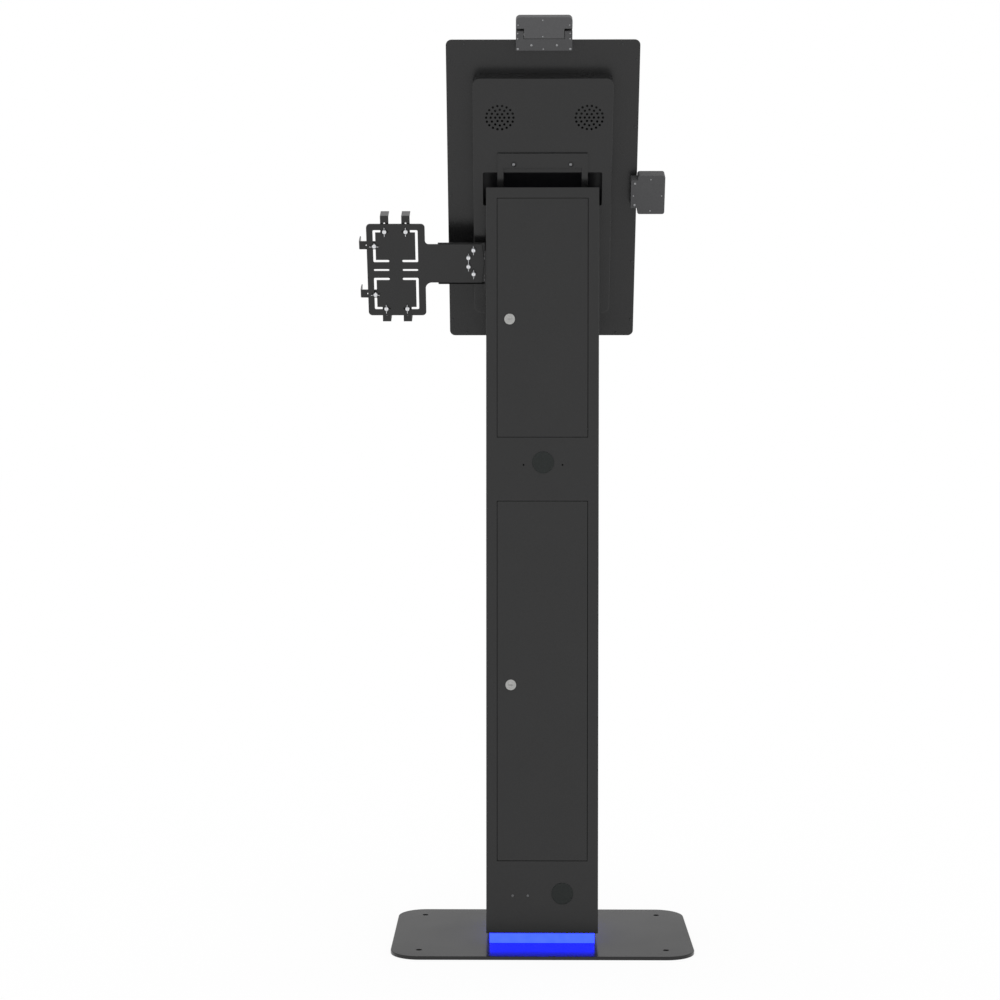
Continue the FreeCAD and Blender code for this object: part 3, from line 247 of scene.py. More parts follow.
def grain(tree, scale, detail):
    place = objectPlace(tree)
    noise = tree.nodes.new("ShaderNodeTexNoise")
    noise.inputs["Scale"].default_value = scale
    noise.inputs["Detail"].default_value = detail
    tree.links.new(place, noise.inputs["Vector"])
    return noise.outputs["Fac"]


def between(tree, value, low, high, fromLow=0.3, fromHigh=0.7):
    # a number that runs from low to high as the value rises
    span = tree.nodes.new("ShaderNodeMapRange")
    span.inputs["From Min"].default_value = fromLow
    span.inputs["From Max"].default_value = fromHigh
    span.inputs["To Min"].default_value = low
    span.inputs["To Max"].default_value = high
    tree.links.new(value, span.inputs["Value"])
    return span.outputs["Result"]


def shades(tree, value, dark, pale, fromLow=0.35, fromHigh=0.65):
    # a colour that runs from dark to pale as the value rises
    ramp = tree.nodes.new("ShaderNodeValToRGB")
    ramp.color_ramp.elements[0].position = fromLow
    ramp.color_ramp.elements[0].color = (*dark, 1)
    ramp.color_ramp.elements[1].position = fromHigh
    ramp.color_ramp.elements[1].color = (*pale, 1)
    tree.links.new(value, ramp.inputs["Fac"])
    return ramp.outputs["Color"]


def bumped(tree, shader, height, strength, distance):
    bump = tree.nodes.new("ShaderNodeBump")
    bump.inputs["Strength"].default_value = strength
    bump.inputs["Distance"].default_value = distance
    tree.links.new(height, bump.inputs["Height"])
    tree.links.new(bump.outputs["Normal"], shader.inputs["Normal"])


def cloudedCoat(name, look):
    # powder coat: fine orange peel in colour and relief, and a hint of cloudiness in the gloss
    finish, tree, shader = newFinish(name, look)
    cloud = grain(tree, *look["cloud"])
    fine = grain(tree, *look["grain"])
    tree.links.new(shades(tree, fine, look["dark"], look["pale"]), shader.inputs["Base Color"])
    tree.links.new(between(tree, cloud, *look["rough"]), shader.inputs["Roughness"])
    bumped(tree, shader, fine, *look["relief"])
    return finish, tree, shader


def grainedFinish(name, look, light=1.0):
    # an even finish: its grain runs the colour from dark to pale, and may vary gloss and relief
    finish, tree, shader = newFinish(name, look)
    fine = grain(tree, *look["grain"])
    dark = [value * light for value in look["dark"]]
    pale = [value * light for value in look["pale"]]
    tree.links.new(shades(tree, fine, dark, pale), shader.inputs["Base Color"])
    if "rough" in look:
        tree.links.new(between(tree, fine, *look["rough"]), shader.inputs["Roughness"])
    if "relief" in look:
        bumped(tree, shader, fine, *look["relief"])
    return finish


powderCoat = {"colour": (0.0115, 0.0115, 0.0118), "roughness": 0.34, "rough": (0.31, 0.37),
              "specular": 0.42, "dark": (0.0085, 0.0085, 0.0087), "pale": (0.015, 0.015, 0.0153),
              "cloud": (14, 3), "grain": (1400, 2), "relief": (0.22, 0.00004)}
slabCoat = dict(powderCoat, roughness=0.25, rough=(0.22, 0.28))


def makePowderCoat():
    # near-black satin powder coat of the column
    return cloudedCoat("powderCoat", powderCoat)[0]


def makeSlabCoat():
    # the same coat, a little glossier, on the screen's housing and the arm
    return cloudedCoat("slabCoat", slabCoat)[0]


plateCoat = {"colour": (0.015, 0.015, 0.0155), "roughness": 0.2, "rough": (0.17, 0.24),
             "specular": 0.1, "dark": (0.012, 0.012, 0.0122), "pale": (0.018, 0.018, 0.0184),
             "cloud": (9, 4), "grain": (1400, 2), "relief": (0.12, 0.00003),
             "sideShine": 0.33, "topShine": 0.045, "facing": (0.3, 0.9)}


def makePlateCoat():
    # the floor plate: smoother, and duller where feet and dust have taken the shine off its top
    finish, tree, shader = cloudedCoat("plateCoat", plateCoat)
    place = tree.nodes.new("ShaderNodeTexCoord")
    split = tree.nodes.new("ShaderNodeSeparateXYZ")
    tree.links.new(place.outputs["Normal"], split.inputs["Vector"])
    worn = between(tree, split.outputs["Z"], plateCoat["sideShine"], plateCoat["topShine"],
                   *plateCoat["facing"])
    tree.links.new(worn, shader.inputs["Specular IOR Level"])
    return finish


# zinc plate on screws, pins and bolts; light is how bright each lot is beside the plain one
zinc = {"colour": (0.6, 0.61, 0.63), "roughness": 0.28, "rough": (0.18, 0.34), "metallic": 1,
        "dark": (0.52, 0.53, 0.55), "pale": (0.7, 0.7, 0.71), "grain": (900, 3),
        "relief": (0.15, 0.00003),
        "light": {"polished": 1.27, "soft": 0.5, "dull": 0.2, "dark": 0.1}}


def makeBrightZinc():
    return grainedFinish("brightZinc", zinc)


def makePolishedZinc():
    # the clamp screws of the arm and the hooks shine most
    return grainedFinish("polishedZinc", zinc, zinc["light"]["polished"])


def makeSoftZinc():
    # the pods' small screws are duller than the clamp screws
    return grainedFinish("softZinc", zinc, zinc["light"]["soft"])


def makeDullZinc():
    # the earthing screws and the arm's have gone grey
    return grainedFinish("dullZinc", zinc, zinc["light"]["dull"])


def makeDarkZinc():
    # blackened screws round the slab's rim
    return grainedFinish("darkZinc", zinc, zinc["light"]["dark"])


greyPlastic = {"colour": (0.076, 0.076, 0.078), "roughness": 0.5, "specular": 0.06,
               "dark": (0.0685, 0.0685, 0.0705), "pale": (0.089, 0.089, 0.091),
               "grain": (1100, 3), "relief": (0.35, 0.00006), "headPaintedLight": 1.22}


def makeGreyPlastic():
    # moulded housing of the camera and the reader, spark-eroded grain
    return grainedFinish("greyPlastic", greyPlastic)


def makeHeadPlastic():
    # the camera head's lid takes the grey plastic a shade lighter than its bracket: painted light,
    # for the brighter light its face catches
    return grainedFinish("headPlastic", greyPlastic, greyPlastic["headPaintedLight"])


capPlastic = {"colour": (0.014, 0.017, 0.016), "roughness": 0.6, "specular": 0.28,
              "dark": (0.011, 0.014, 0.013), "pale": (0.018, 0.021, 0.02),
              "grain": (800, 3), "relief": (0.3, 0.00006)}


def makeCapPlastic():
    # cable caps: dull plastic, a little green
    return grainedFinish("capPlastic", capPlastic)


blackPlastic = {"colour": (0.02, 0.02, 0.02), "roughness": 0.45,
                "dark": (0.012, 0.012, 0.012), "pale": (0.026, 0.026, 0.026),
                "grain": (900, 3), "relief": (0.4, 0.00008)}


def makeBlackPlastic():
    return grainedFinish("blackPlastic", blackPlastic)


# the speaker cloth; its last three entries are painted light, a grey added towards its top between
# two heights
speakerCloth = {"colour": (0.0015, 0.0015, 0.0015), "roughness": 0.95, "specular": 0.05,
                "dark": (0.0008, 0.0008, 0.0008), "pale": (0.003, 0.003, 0.003),
                "weave": (2500, 1), "relief": (0.5, 0.0001),
                "paintedLight": (0.026, 0.026, 0.026), "paintedLightFrom": 1.466, "paintedLightTo": 1.494}


def makeSpeakerCloth():
    # black cloth over the speakers, behind the grilles, with painted light that greys it towards
    # its top, where light comes in through the grille holes
    finish, tree, shader = newFinish("speakerCloth", speakerCloth)
    weave = grain(tree, *speakerCloth["weave"])
    split = tree.nodes.new("ShaderNodeSeparateXYZ")
    tree.links.new(objectPlace(tree), split.inputs["Vector"])
    # painted light: a grey that grows with height on the cloth, for the light that reaches its top
    # through the holes
    rise = between(tree, split.outputs["Z"], 0, 1, speakerCloth["paintedLightFrom"], speakerCloth["paintedLightTo"])
    paintedLight = shades(tree, rise, (0, 0, 0), speakerCloth["paintedLight"], 0, 1)
    mix = tree.nodes.new("ShaderNodeMix")
    mix.data_type = "RGBA"
    mix.blend_type = "ADD"
    mix.inputs["Factor"].default_value = 1
    black = shades(tree, weave, speakerCloth["dark"], speakerCloth["pale"])
    tree.links.new(black, mix.inputs["A"])
    tree.links.new(paintedLight, mix.inputs["B"])
    tree.links.new(mix.outputs["Result"], shader.inputs["Base Color"])
    bumped(tree, shader, weave, *speakerCloth["relief"])
    return finish


shadowStripBlack = {"colour": (0.004, 0.004, 0.004), "roughness": 0.8, "specular": 0.12,
              "dark": (0.003, 0.003, 0.003), "pale": (0.006, 0.006, 0.006),
              "grain": (700, 2), "relief": (0.3, 0.00005)}


def makeShadowStripBlack():
    # near-black finish of the strip under the arm: painted shade, for the shadow line along the
    # arm's lower edge
    return grainedFinish("shadowStripBlack", shadowStripBlack)


galvanised = {"colour": (0.5, 0.51, 0.52), "roughness": 0.4, "rough": (0.28, 0.5), "metallic": 1,
              "dark": (0.42, 0.43, 0.44), "pale": (0.6, 0.61, 0.62), "crystals": 120}


def makeRawSteel():
    # galvanised sheet with its large flat crystals
    finish, tree, shader = newFinish("galvanised", galvanised)
    crystal = tree.nodes.new("ShaderNodeTexVoronoi")
    crystal.inputs["Scale"].default_value = galvanised["crystals"]
    tree.links.new(objectPlace(tree), crystal.inputs["Vector"])
    split = tree.nodes.new("ShaderNodeSeparateColor")
    tree.links.new(crystal.outputs["Color"], split.inputs["Color"])
    tone = shades(tree, split.outputs["Red"], galvanised["dark"], galvanised["pale"], 0, 1)
    tree.links.new(tone, shader.inputs["Base Color"])
    gloss = between(tree, split.outputs["Green"], *galvanised["rough"], 0, 1)
    tree.links.new(gloss, shader.inputs["Roughness"])
    return finish


lightBlue = {"colour": (0.005, 0.01, 0.05), "roughness": 0.4, "strength": 10.6, "cloud": (60, 2),
             "dark": (0.0055, 0.0134, 1.0), "pale": (0.0066, 0.0149, 1.0)}


def makeLightBlue():
    # translucent light ring, lit blue and not quite evenly
    finish, tree, shader = newFinish("lightBlue", lightBlue)
    cloud = grain(tree, *lightBlue["cloud"])
    tone = shades(tree, cloud, lightBlue["dark"], lightBlue["pale"])
    tree.links.new(tone, shader.inputs["Emission Color"])
    shader.inputs["Emission Strength"].default_value = lightBlue["strength"]
    return finish


ledBoard = {"colour": (0.8, 0.85, 0.95), "roughness": 0.4, "chipScale": 160,
            "board": (0.75, 0.78, 0.8), "chip": (0.9, 0.85, 0.35)}


def makeLedBoard():
    # white strip with rows of yellow light chips
    finish, tree, shader = newFinish("ledBoard", ledBoard)
    chips = tree.nodes.new("ShaderNodeTexChecker")
    chips.inputs["Scale"].default_value = ledBoard["chipScale"]
    chips.inputs["Color1"].default_value = (*ledBoard["board"], 1)
    chips.inputs["Color2"].default_value = (*ledBoard["chip"], 1)
    tree.links.new(objectPlace(tree), chips.inputs["Vector"])
    tree.links.new(chips.outputs["Color"], shader.inputs["Base Color"])
    return finish


def insideSlab(tree, halfX, lowY, highY):
    # 1 inside a rectangle on the slab's front, 0 outside it
    turn = tree.nodes.new("ShaderNodeMapping")
    turn.vector_type = "TEXTURE"
    turn.inputs["Location"].default_value = (0, slab["bottomY"], slab["bottomZ"])
    turn.inputs["Rotation"].default_value = (math.radians(90 - slab["tilt"]), 0, 0)
    tree.links.new(objectPlace(tree), turn.inputs["Vector"])
    split = tree.nodes.new("ShaderNodeSeparateXYZ")
    tree.links.new(turn.outputs["Vector"], split.inputs["Vector"])
    tests = [("X", "GREATER_THAN", -halfX), ("X", "LESS_THAN", halfX),
             ("Y", "GREATER_THAN", lowY), ("Y", "LESS_THAN", highY)]
    total = None
    for axis, operation, limit in tests:
        test = tree.nodes.new("ShaderNodeMath")
        test.operation = operation
        test.inputs[1].default_value = limit
        tree.links.new(split.outputs[axis], test.inputs[0])
        if total is None:
            total = test.outputs["Value"]
            continue
        both = tree.nodes.new("ShaderNodeMath")
        both.operation = "MULTIPLY"
        tree.links.new(total, both.inputs[0])
        tree.links.new(test.outputs["Value"], both.inputs[1])
        total = both.outputs["Value"]
    return total


screenGlass = {"colour": (0.004, 0.004, 0.005), "roughness": 0.06, "rough": (0.03, 0.09),
               "coat": 0.3, "coatRoughness": 0.03, "smudge": (9, 4),
               "border": (0.0035, 0.0035, 0.004), "display": (0.016, 0.017, 0.021),
               "displayArea": {"halfX": 0.1345, "lowY": 0.0375, "highY": 0.5145}}


def makeScreenGlass():
    # touch glass: printed black border round a slightly greyer switched-off display
    finish, tree, shader = newFinish("screenGlass", screenGlass)
    active = insideSlab(tree, **screenGlass["displayArea"])
    mix = tree.nodes.new("ShaderNodeMix")
    mix.data_type = "RGBA"
    mix.inputs["A"].default_value = (*screenGlass["border"], 1)
    mix.inputs["B"].default_value = (*screenGlass["display"], 1)
    tree.links.new(active, mix.inputs["Factor"])
    tree.links.new(mix.outputs["Result"], shader.inputs["Base Color"])
    smudge = grain(tree, *screenGlass["smudge"])
    tree.links.new(between(tree, smudge, *screenGlass["rough"]), shader.inputs["Roughness"])
    return finish


displayBlack = {"colour": (0.01, 0.01, 0.012), "roughness": 0.3, "grain": (2000, 1),
                "dark": (0.008, 0.008, 0.01), "pale": (0.014, 0.014, 0.017)}


def makeDisplayBlack():
    return grainedFinish("displayBlack", displayBlack)


circuitBoard = {"colour": (0.02, 0.16, 0.07), "roughness": 0.35, "trackScale": 60,
                "field": (0.015, 0.15, 0.06), "otherField": (0.02, 0.19, 0.08),
                "track": (0.05, 0.3, 0.14)}


def makeCircuitBoard():
    # green lacquer with paler tracks
    finish, tree, shader = newFinish("circuitBoard", circuitBoard)
    tracks = tree.nodes.new("ShaderNodeTexBrick")
    tracks.inputs["Scale"].default_value = circuitBoard["trackScale"]
    tracks.inputs["Color1"].default_value = (*circuitBoard["field"], 1)
    tracks.inputs["Color2"].default_value = (*circuitBoard["otherField"], 1)
    tracks.inputs["Mortar"].default_value = (*circuitBoard["track"], 1)
    tree.links.new(objectPlace(tree), tracks.inputs["Vector"])
    tree.links.new(tracks.outputs["Color"], shader.inputs["Base Color"])
    return finish


lensGlass = {"colour": (0.008, 0.008, 0.012), "roughness": 0.08, "rough": (0.05, 0.12),
             "coat": 0.6, "coatRoughness": 0.04, "cloud": (40, 2)}


def makeLensGlass():
    finish, tree, shader = newFinish("lensGlass", lensGlass)
    cloud = grain(tree, *lensGlass["cloud"])
    tree.links.new(between(tree, cloud, *lensGlass["rough"]), shader.inputs["Roughness"])
    return finish


lockNickel = {"colour": (0.46, 0.46, 0.45), "roughness": 0.42, "rough": (0.36, 0.5), "metallic": 1,
              "dark": (0.38, 0.38, 0.37), "pale": (0.5, 0.5, 0.49), "grain": (500, 3),
              "relief": (0.2, 0.00004)}


def makeLockNickel():
    # satin nickel lock faces, turned marks
    return grainedFinish("lockNickel", lockNickel)


receiptPaper = {"colour": (0.86, 0.86, 0.84), "roughness": 0.7, "specular": 0.2,
                "dark": (0.74, 0.74, 0.72), "pale": (0.86, 0.86, 0.84), "edge": (0.2, 0.8),
                "axisY": -0.022, "axisZ": 0.97, "rings": 300}


def makeReceiptPaper():
    # thermal paper roll: its wound edge shows as fine rings about the roll's axis
    finish, tree, shader = newFinish("receiptPaper", receiptPaper)
    centre = tree.nodes.new("ShaderNodeMapping")
    centre.inputs["Location"].default_value = (0, -receiptPaper["axisY"], -receiptPaper["axisZ"])
    centre.inputs["Scale"].default_value = (0, 1, 1)
    tree.links.new(objectPlace(tree), centre.inputs["Vector"])
    rings = tree.nodes.new("ShaderNodeTexWave")
    rings.wave_type = "RINGS"
    rings.rings_direction = "SPHERICAL"
    rings.inputs["Scale"].default_value = receiptPaper["rings"]
    tree.links.new(centre.outputs["Vector"], rings.inputs["Vector"])
    tone = shades(tree, rings.outputs["Fac"], receiptPaper["dark"], receiptPaper["pale"],
                  *receiptPaper["edge"])
    tree.links.new(tone, shader.inputs["Base Color"])
    return finish


makers = {
    "black_coat": makePowderCoat, "bright_zinc": makeBrightZinc, "grey_plastic": makeGreyPlastic,
    "cap_plastic": makeCapPlastic, "black_plastic": makeBlackPlastic, "raw_steel": makeRawSteel,
    "light_blue": makeLightBlue, "led_board": makeLedBoard, "screen_glass": makeScreenGlass,
    "display_black": makeDisplayBlack, "circuit_board": makeCircuitBoard,
    "lens_glass": makeLensGlass, "lock_nickel": makeLockNickel, "receipt_paper": makeReceiptPaper,
    "plate_coat": makePlateCoat, "head_plastic": makeHeadPlastic,
    "speaker_cloth": makeSpeakerCloth, "polished_zinc": makePolishedZinc,
    "soft_zinc": makeSoftZinc, "dull_zinc": makeDullZinc, "dark_zinc": makeDarkZinc,
    "slab_coat": makeSlabCoat, "shadow_strip_black": makeShadowStripBlack,
}
finishes = {slotName: maker() for slotName, maker in makers.items()}

slotOf = {part["node"]: part["material_slot"] for part in frame["record"]["subparts"]}
ownFinish = {"base_plate": "plate_coat", "camera_head": "head_plastic", "speakers": "speaker_cloth"}
for nodeName in ("rear_cover", "screen_frame", "hanger_bracket", "arm_bracket", "terminal_plate"):
    ownFinish[nodeName] = "slab_coat"
for nodeName in slotOf:
    if nodeName.endswith("_hook"):
        ownFinish[nodeName] = "slab_coat"
for nodeName, slotName in slotOf.items():
    node = frame["nodes"][nodeName]
    node.data.materials.clear()
    node.data.materials.append(finishes[ownFinish.get(nodeName, slotName)])
print("materials ready")


# sheet metal and mouldings whose edges are eased: a merged copy of the node with a small bevel
easedNodes = {
    "base_plate": 0.0004, "column_shell": 0.0003, "upper_door": 0.0003, "lower_door": 0.0003,
    "hanger_bracket": 0.0004, "terminal_plate": 0.0004, "arm_bracket": 0.0002,
    "camera_bracket": 0.0004, "camera_head": 0.0004, "reader_shell": 0.0004,
    "cable_caps": 0.0002, "receipt_bezel": 0.0004, "receipt_printer": 0.0006,
    "printer_cover": 0.0006, "column_front_panel": 0.0004, "printer_shelf": 0.0004,
    "power_supply": 0.0006, "power_switch": 0.0004,
}
merging = {"distance": 0.00001, "flatAngle": 0.5}


def easedCopy(nodeName, width):
    source = frame["nodes"][nodeName]
    piece = bpy.data.objects.new(nodeName + ".eased", source.data.copy())
    bpy.context.scene.collection.objects.link(piece)
    editing(piece, "VERT")
    bpy.ops.mesh.select_all(action="SELECT")
    bpy.ops.mesh.remove_doubles(threshold=merging["distance"])
    bpy.ops.mesh.dissolve_limited(angle_limit=math.radians(merging["flatAngle"]))
    doneEditing()
    bevelled(piece, width)
    smooth(piece)
    return finishPiece(piece, nodeName + ".eased", source["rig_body"], slotOf[nodeName], nodeName,
                       finish=ownFinish.get(nodeName))


for nodeName, width in easedNodes.items():
    easedCopy(nodeName, width)
print("edges eased")


# fasteners: each is modelled once, head outwards along z with its seat at z = 0, then copied
# shares of the head's width or height
crossHead = {"corners": 40, "roundTop": 0.5, "roundSteps": 4, "slotReach": 0.3, "slotHalf": 0.07,
             "slotFloor": 0.3, "cutAbove": 0.001}


def crossScrew(size):
    # pan-head screw with a cross recess
    screw = disc(size["head"] / 2, 0, size["height"], crossHead["corners"])
    editing(screw, "EDGE")
    rimAt(screw, size["height"])
    bpy.ops.mesh.bevel(
        offset=size["height"] * crossHead["roundTop"], segments=crossHead["roundSteps"])
    bpy.ops.mesh.select_mode(type="FACE")
    facesAt(screw, 0)
    bpy.ops.mesh.inset(thickness=(size["head"] - size["shank"]) / 2)
    bpy.ops.mesh.extrude_region_move(TRANSFORM_OT_translate={"value": (0, 0, -size["length"])})
    doneEditing()
    arm, thin = size["head"] * crossHead["slotReach"], size["head"] * crossHead["slotHalf"]
    floor, top = size["height"] * crossHead["slotFloor"], size["height"] + crossHead["cutAbove"]
    across = cube((-arm, -thin, floor), (arm, thin, top))
    along = cube((-thin, -arm, floor), (thin, arm, top))
    return smooth(cutWith(screw, unitedWith(across, along)))


# shares of the lobe's radius, of the hub or of the nut
wingForm = {"lobeCorners": 28, "rootBelow": 0.75, "rootAbove": 0.35,
            "hubCorners": 36, "taper": 0.84, "hubRound": 0.12, "hubSteps": 3,
            "nutEasing": 0.05, "easing": 0.00015, "easedAngle": 50}


def wingLobe(size, side):
    # one thin rounded wing, standing on edge beside the hub
    lobe = disc(size["lobe"], -size["thick"] / 2, size["thick"] / 2, wingForm["lobeCorners"])
    lobe = placed(lobe, turnedAt((0, side * size["reach"], size["rise"]), 90, "Y"))
    low = size["rise"] - size["lobe"] * wingForm["rootBelow"]
    high = size["rise"] + size["lobe"] * wingForm["rootAbove"]
    root = cube((-size["thick"] / 2, min(0, side * size["reach"]), low),
                (size["thick"] / 2, max(0, side * size["reach"]), high))
    return unitedWith(lobe, root)


def wingScrew(size):
    # hub with two wings, a shank, and a hexagon nut at its other end
    hub = disc(size["hub"] / 2, 0, size["hubHeight"], wingForm["hubCorners"])
    editing(hub)
    facesAt(hub, size["hubHeight"])
    bpy.ops.transform.resize(value=(wingForm["taper"], wingForm["taper"], 1))
    bpy.ops.mesh.select_mode(type="EDGE")
    rimAt(hub, size["hubHeight"])
    bpy.ops.mesh.bevel(
        offset=size["hubHeight"] * wingForm["hubRound"], segments=wingForm["hubSteps"])
    bpy.ops.mesh.select_mode(type="FACE")
    facesAt(hub, 0)
    bpy.ops.mesh.inset(thickness=(size["hub"] - size["shank"]) / 2)
    bpy.ops.mesh.extrude_region_move(TRANSFORM_OT_translate={"value": (0, 0, -size["nutEnd"])})
    doneEditing()
    for side in (-1, 1):
        unitedWith(hub, wingLobe(size, side))
    nut = disc(size["nut"] / 2, -size["nutEnd"] + size["tip"], -size["nutStart"], 6)
    bevelled(nut, size["nut"] * wingForm["nutEasing"])
    return smooth(bevelled(unitedWith(hub, nut), wingForm["easing"], angle=wingForm["easedAngle"]))


def onSlab(x, y, face):
    # the place of a screw on the slab's service side, its head towards the service side
    return slabPlace @ turnedAt((x, y, -face), 180, "X")


def copiesOf(model, name, matrices):
    copies = [copyOf(model, matrix) for matrix in matrices]
    bpy.data.objects.remove(model)
    return oneOf(copies, name)


coverScrews = {
    "size": {"head": 0.0044, "height": 0.0012, "shank": 0.0025, "length": 0.008},
    "sideX": 0.1645, "rows": (0.032, 0.145, 0.396, 0.516), "middleRow": 0.2705,
    "endX": 0.1385, "ends": (0.0055, 0.5445),
}


def makeCoverScrews():
    places = [(side * coverScrews["sideX"], row) for side in (-1, 1) for row in coverScrews["rows"]]
    places.append((coverScrews["sideX"], coverScrews["middleRow"]))
    places += [(side * coverScrews["endX"], end) for side in (-1, 1) for end in coverScrews["ends"]]
    matrices = [onSlab(x, y, 0) for x, y in places]
    screws = copiesOf(crossScrew(coverScrews["size"]), "cover_screws", matrices)
    finishPiece(screws, "cover_screws", "kiosk", "dull_zinc", "rear_cover_screws",
                finish="dark_zinc")


podScrews = {
    "size": {"head": 0.0044, "height": 0.0012, "shank": 0.0025, "length": 0.028},
    "cameraX": -0.0016, "cameraFace": 0.02, "outer": (0.0455, 0.5405), "inner": (0.022, 0.547),
    "readerX": -0.165, "readerFace": 0.03, "readerRows": (0.262, 0.3014), "readerLength": 0.038,
}


def makePodScrews():
    places = [onSlab(podScrews["cameraX"] + side * x, y, podScrews["cameraFace"])
              for side in (-1, 1) for x, y in (podScrews["outer"], podScrews["inner"])]
    short = copiesOf(crossScrew(podScrews["size"]), "camera_module_screws", places)
    longSize = dict(podScrews["size"], length=podScrews["readerLength"])
    places = [onSlab(podScrews["readerX"], row, podScrews["readerFace"])
              for row in podScrews["readerRows"]]
    long = copiesOf(crossScrew(longSize), "reader_screws", places)
    both = oneOf([short, long], "pod_fasteners")
    finishPiece(both, "pod_fasteners", "kiosk", "bright_zinc", "pod_screws", finish="soft_zinc")


hangerScrews = {"size": {"head": 0.0056, "height": 0.0024, "shank": 0.003, "length": 0.0094},
                "x": (-0.04945, 0.05155), "y": 0.3401, "face": 0.0404}


def makeHangerScrews():
    places = [onSlab(x, hangerScrews["y"], hangerScrews["face"]) for x in hangerScrews["x"]]
    screws = copiesOf(crossScrew(hangerScrews["size"]), "hanger_fasteners", places)
    finishPiece(screws, "hanger_fasteners", "kiosk", "bright_zinc", "hanger_screws",
                finish="soft_zinc")


earthScrews = {"size": {"head": 0.0052, "height": 0.0012, "shank": 0.0025, "length": 0.01},
               "x": (0.0256, 0.0528), "z": 0.0928, "wall": 0.086}


def makeEarthScrews():
    places = [turnedAt((x, earthScrews["wall"], earthScrews["z"]), -90, "X")
              for x in earthScrews["x"]]
    screws = copiesOf(crossScrew(earthScrews["size"]), "earth_fasteners", places)
    finishPiece(screws, "earth_fasteners", "kiosk", "dull_zinc", "earth_screws")


armScrews = {"size": {"head": 0.0044, "height": 0.0012, "shank": 0.0025, "length": 0.011},
             "x": 0.103, "rows": (0.143, 0.183), "depths": (-0.091, -0.071)}


def makeArmScrews():
    places = [slabPlace @ turnedAt((armScrews["x"], row, depth), 90, "Y")
              for row in armScrews["rows"] for depth in armScrews["depths"]]
    screws = copiesOf(crossScrew(armScrews["size"]), "arm_fasteners", places)
    finishPiece(screws, "arm_fasteners", "kiosk", "dull_zinc", "arm_bracket_screws")


wings = {
    "plateFace": 0.06322,
    "size": {"hub": 0.0088, "hubHeight": 0.0045, "lobe": 0.0023, "thick": 0.0008, "reach": 0.0064,
             "rise": 0.0045, "shank": 0.004, "nut": 0.007, "tip": 0.001},
    "arc": {"x": 0.1042, "y": 0.1666, "radius": 0.0295, "step": 16.5, "steps": (-3, -1, 1, 3),
            "nutStart": 0.0064, "nutEnd": 0.0106},
    "hook": {"nutStart": 0.0054, "nutEnd": 0.0096, "x": (0.2444, 0.2824), "y": (0.2237, 0.0777),
             "sideX": 0.3014, "sideY": (0.1967, 0.1047)},
}


def makeArcWings():
    arc = wings["arc"]
    places = []
    for count in arc["steps"]:
        angle = math.radians(count * arc["step"])
        x = arc["x"] + arc["radius"] * math.cos(angle)
        y = arc["y"] + arc["radius"] * math.sin(angle)
        places.append(onSlab(x, y, wings["plateFace"]))
    size = dict(wings["size"], nutStart=arc["nutStart"], nutEnd=arc["nutEnd"])
    screws = copiesOf(wingScrew(size), "arc_wing_screws", places)
    finishPiece(screws, "arc_wing_screws", "terminal_plate", "bright_zinc", "arm_wing_screws",
                finish="polished_zinc")


def makeHookWings():
    hook = wings["hook"]
    size = dict(wings["size"], nutStart=hook["nutStart"], nutEnd=hook["nutEnd"])
    model = wingScrew(size)
    quarter = Matrix.Rotation(math.radians(90), 4, "Z")
    places = {}
    for rowName, y in zip(("top", "bottom"), hook["y"]):
        for sideName, x in zip(("inner", "outer"), hook["x"]):
            places[rowName + "_" + sideName] = onSlab(x, y, wings["plateFace"])
    for sideName, y in zip(("upper", "lower"), hook["sideY"]):
        places["side_" + sideName] = onSlab(hook["sideX"], y, wings["plateFace"]) @ quarter
    for name, place in places.items():
        screw = copyOf(model, place)
        finishPiece(screw, name + "_clamp_screw", name + "_hook", "bright_zinc",
                    name + "_wing_screw", finish="polished_zinc")
    bpy.data.objects.remove(model)


# small screws that hold the pods' own lids
lidScrews = {
    "size": {"head": 0.0028, "height": 0.0007, "shank": 0.0015, "length": 0.003},
    "cameraFace": 0.02, "readerFace": 0.03,
    "head": ((0.0009, 0.5902), (0.0436, 0.5819), (-0.0456, 0.5819), (0.0009, 0.562)),
    "ears": ((0.0444, 0.5676), (-0.0466, 0.5676), (0.0444, 0.5583), (-0.0466, 0.5583),
             (-0.0003, 0.5402)),
    "reader": ((-0.1625, 0.2786), (-0.2129, 0.2786), (-0.1932, 0.3088), (-0.1931, 0.251)),
}


def makeLidScrews():
    groups = (("head", "camera_head", "cameraFace"), ("ears", "kiosk", "cameraFace"),
              ("reader", "kiosk", "readerFace"))
    for group, body, face in groups:
        places = [onSlab(x, y, lidScrews[face]) for x, y in lidScrews[group]]
        screws = copiesOf(crossScrew(lidScrews["size"]), group + "_lid_screws", places)
        finishPiece(screws, group + "_lid_screws", body, "bright_zinc", finish="soft_zinc")


# near-black strip along the arm's lower edge: painted shade, a dark piece put where the shadow line
# under the arm falls
armShadowStrip = {"x": (0.1035, 0.1872), "y": (0.1231, 0.1272), "z": (-0.06015, -0.05685),
            "grooveX": (0.1, 0.19), "grooveY": (0.125, 0.13), "grooveZ": (-0.06, -0.057),
            "easing": 0.00008}


def makeArmShadowStrip():
    strip = cube(*zip(armShadowStrip["x"], armShadowStrip["y"], armShadowStrip["z"]))
    cutWith(strip, cube(*zip(armShadowStrip["grooveX"], armShadowStrip["grooveY"], armShadowStrip["grooveZ"])))
    placed(smooth(bevelled(strip, armShadowStrip["easing"])), slabPlace)
    finishPiece(strip, "arm_shadow_strip", "kiosk", "black_plastic", finish="shadow_strip_black")


# hexagon nuts that hold the locks behind the doors
lockNuts = {"flats": 0.021, "bore": 0.0161, "boreCorners": 48, "thick": 0.0028, "seat": 0.0839,
            "easing": 0.0003, "cutBeyond": 0.001,
            "places": {"upper_door": (0.0584, 1.122), "lower_door": (0.0562, 0.4717)}}


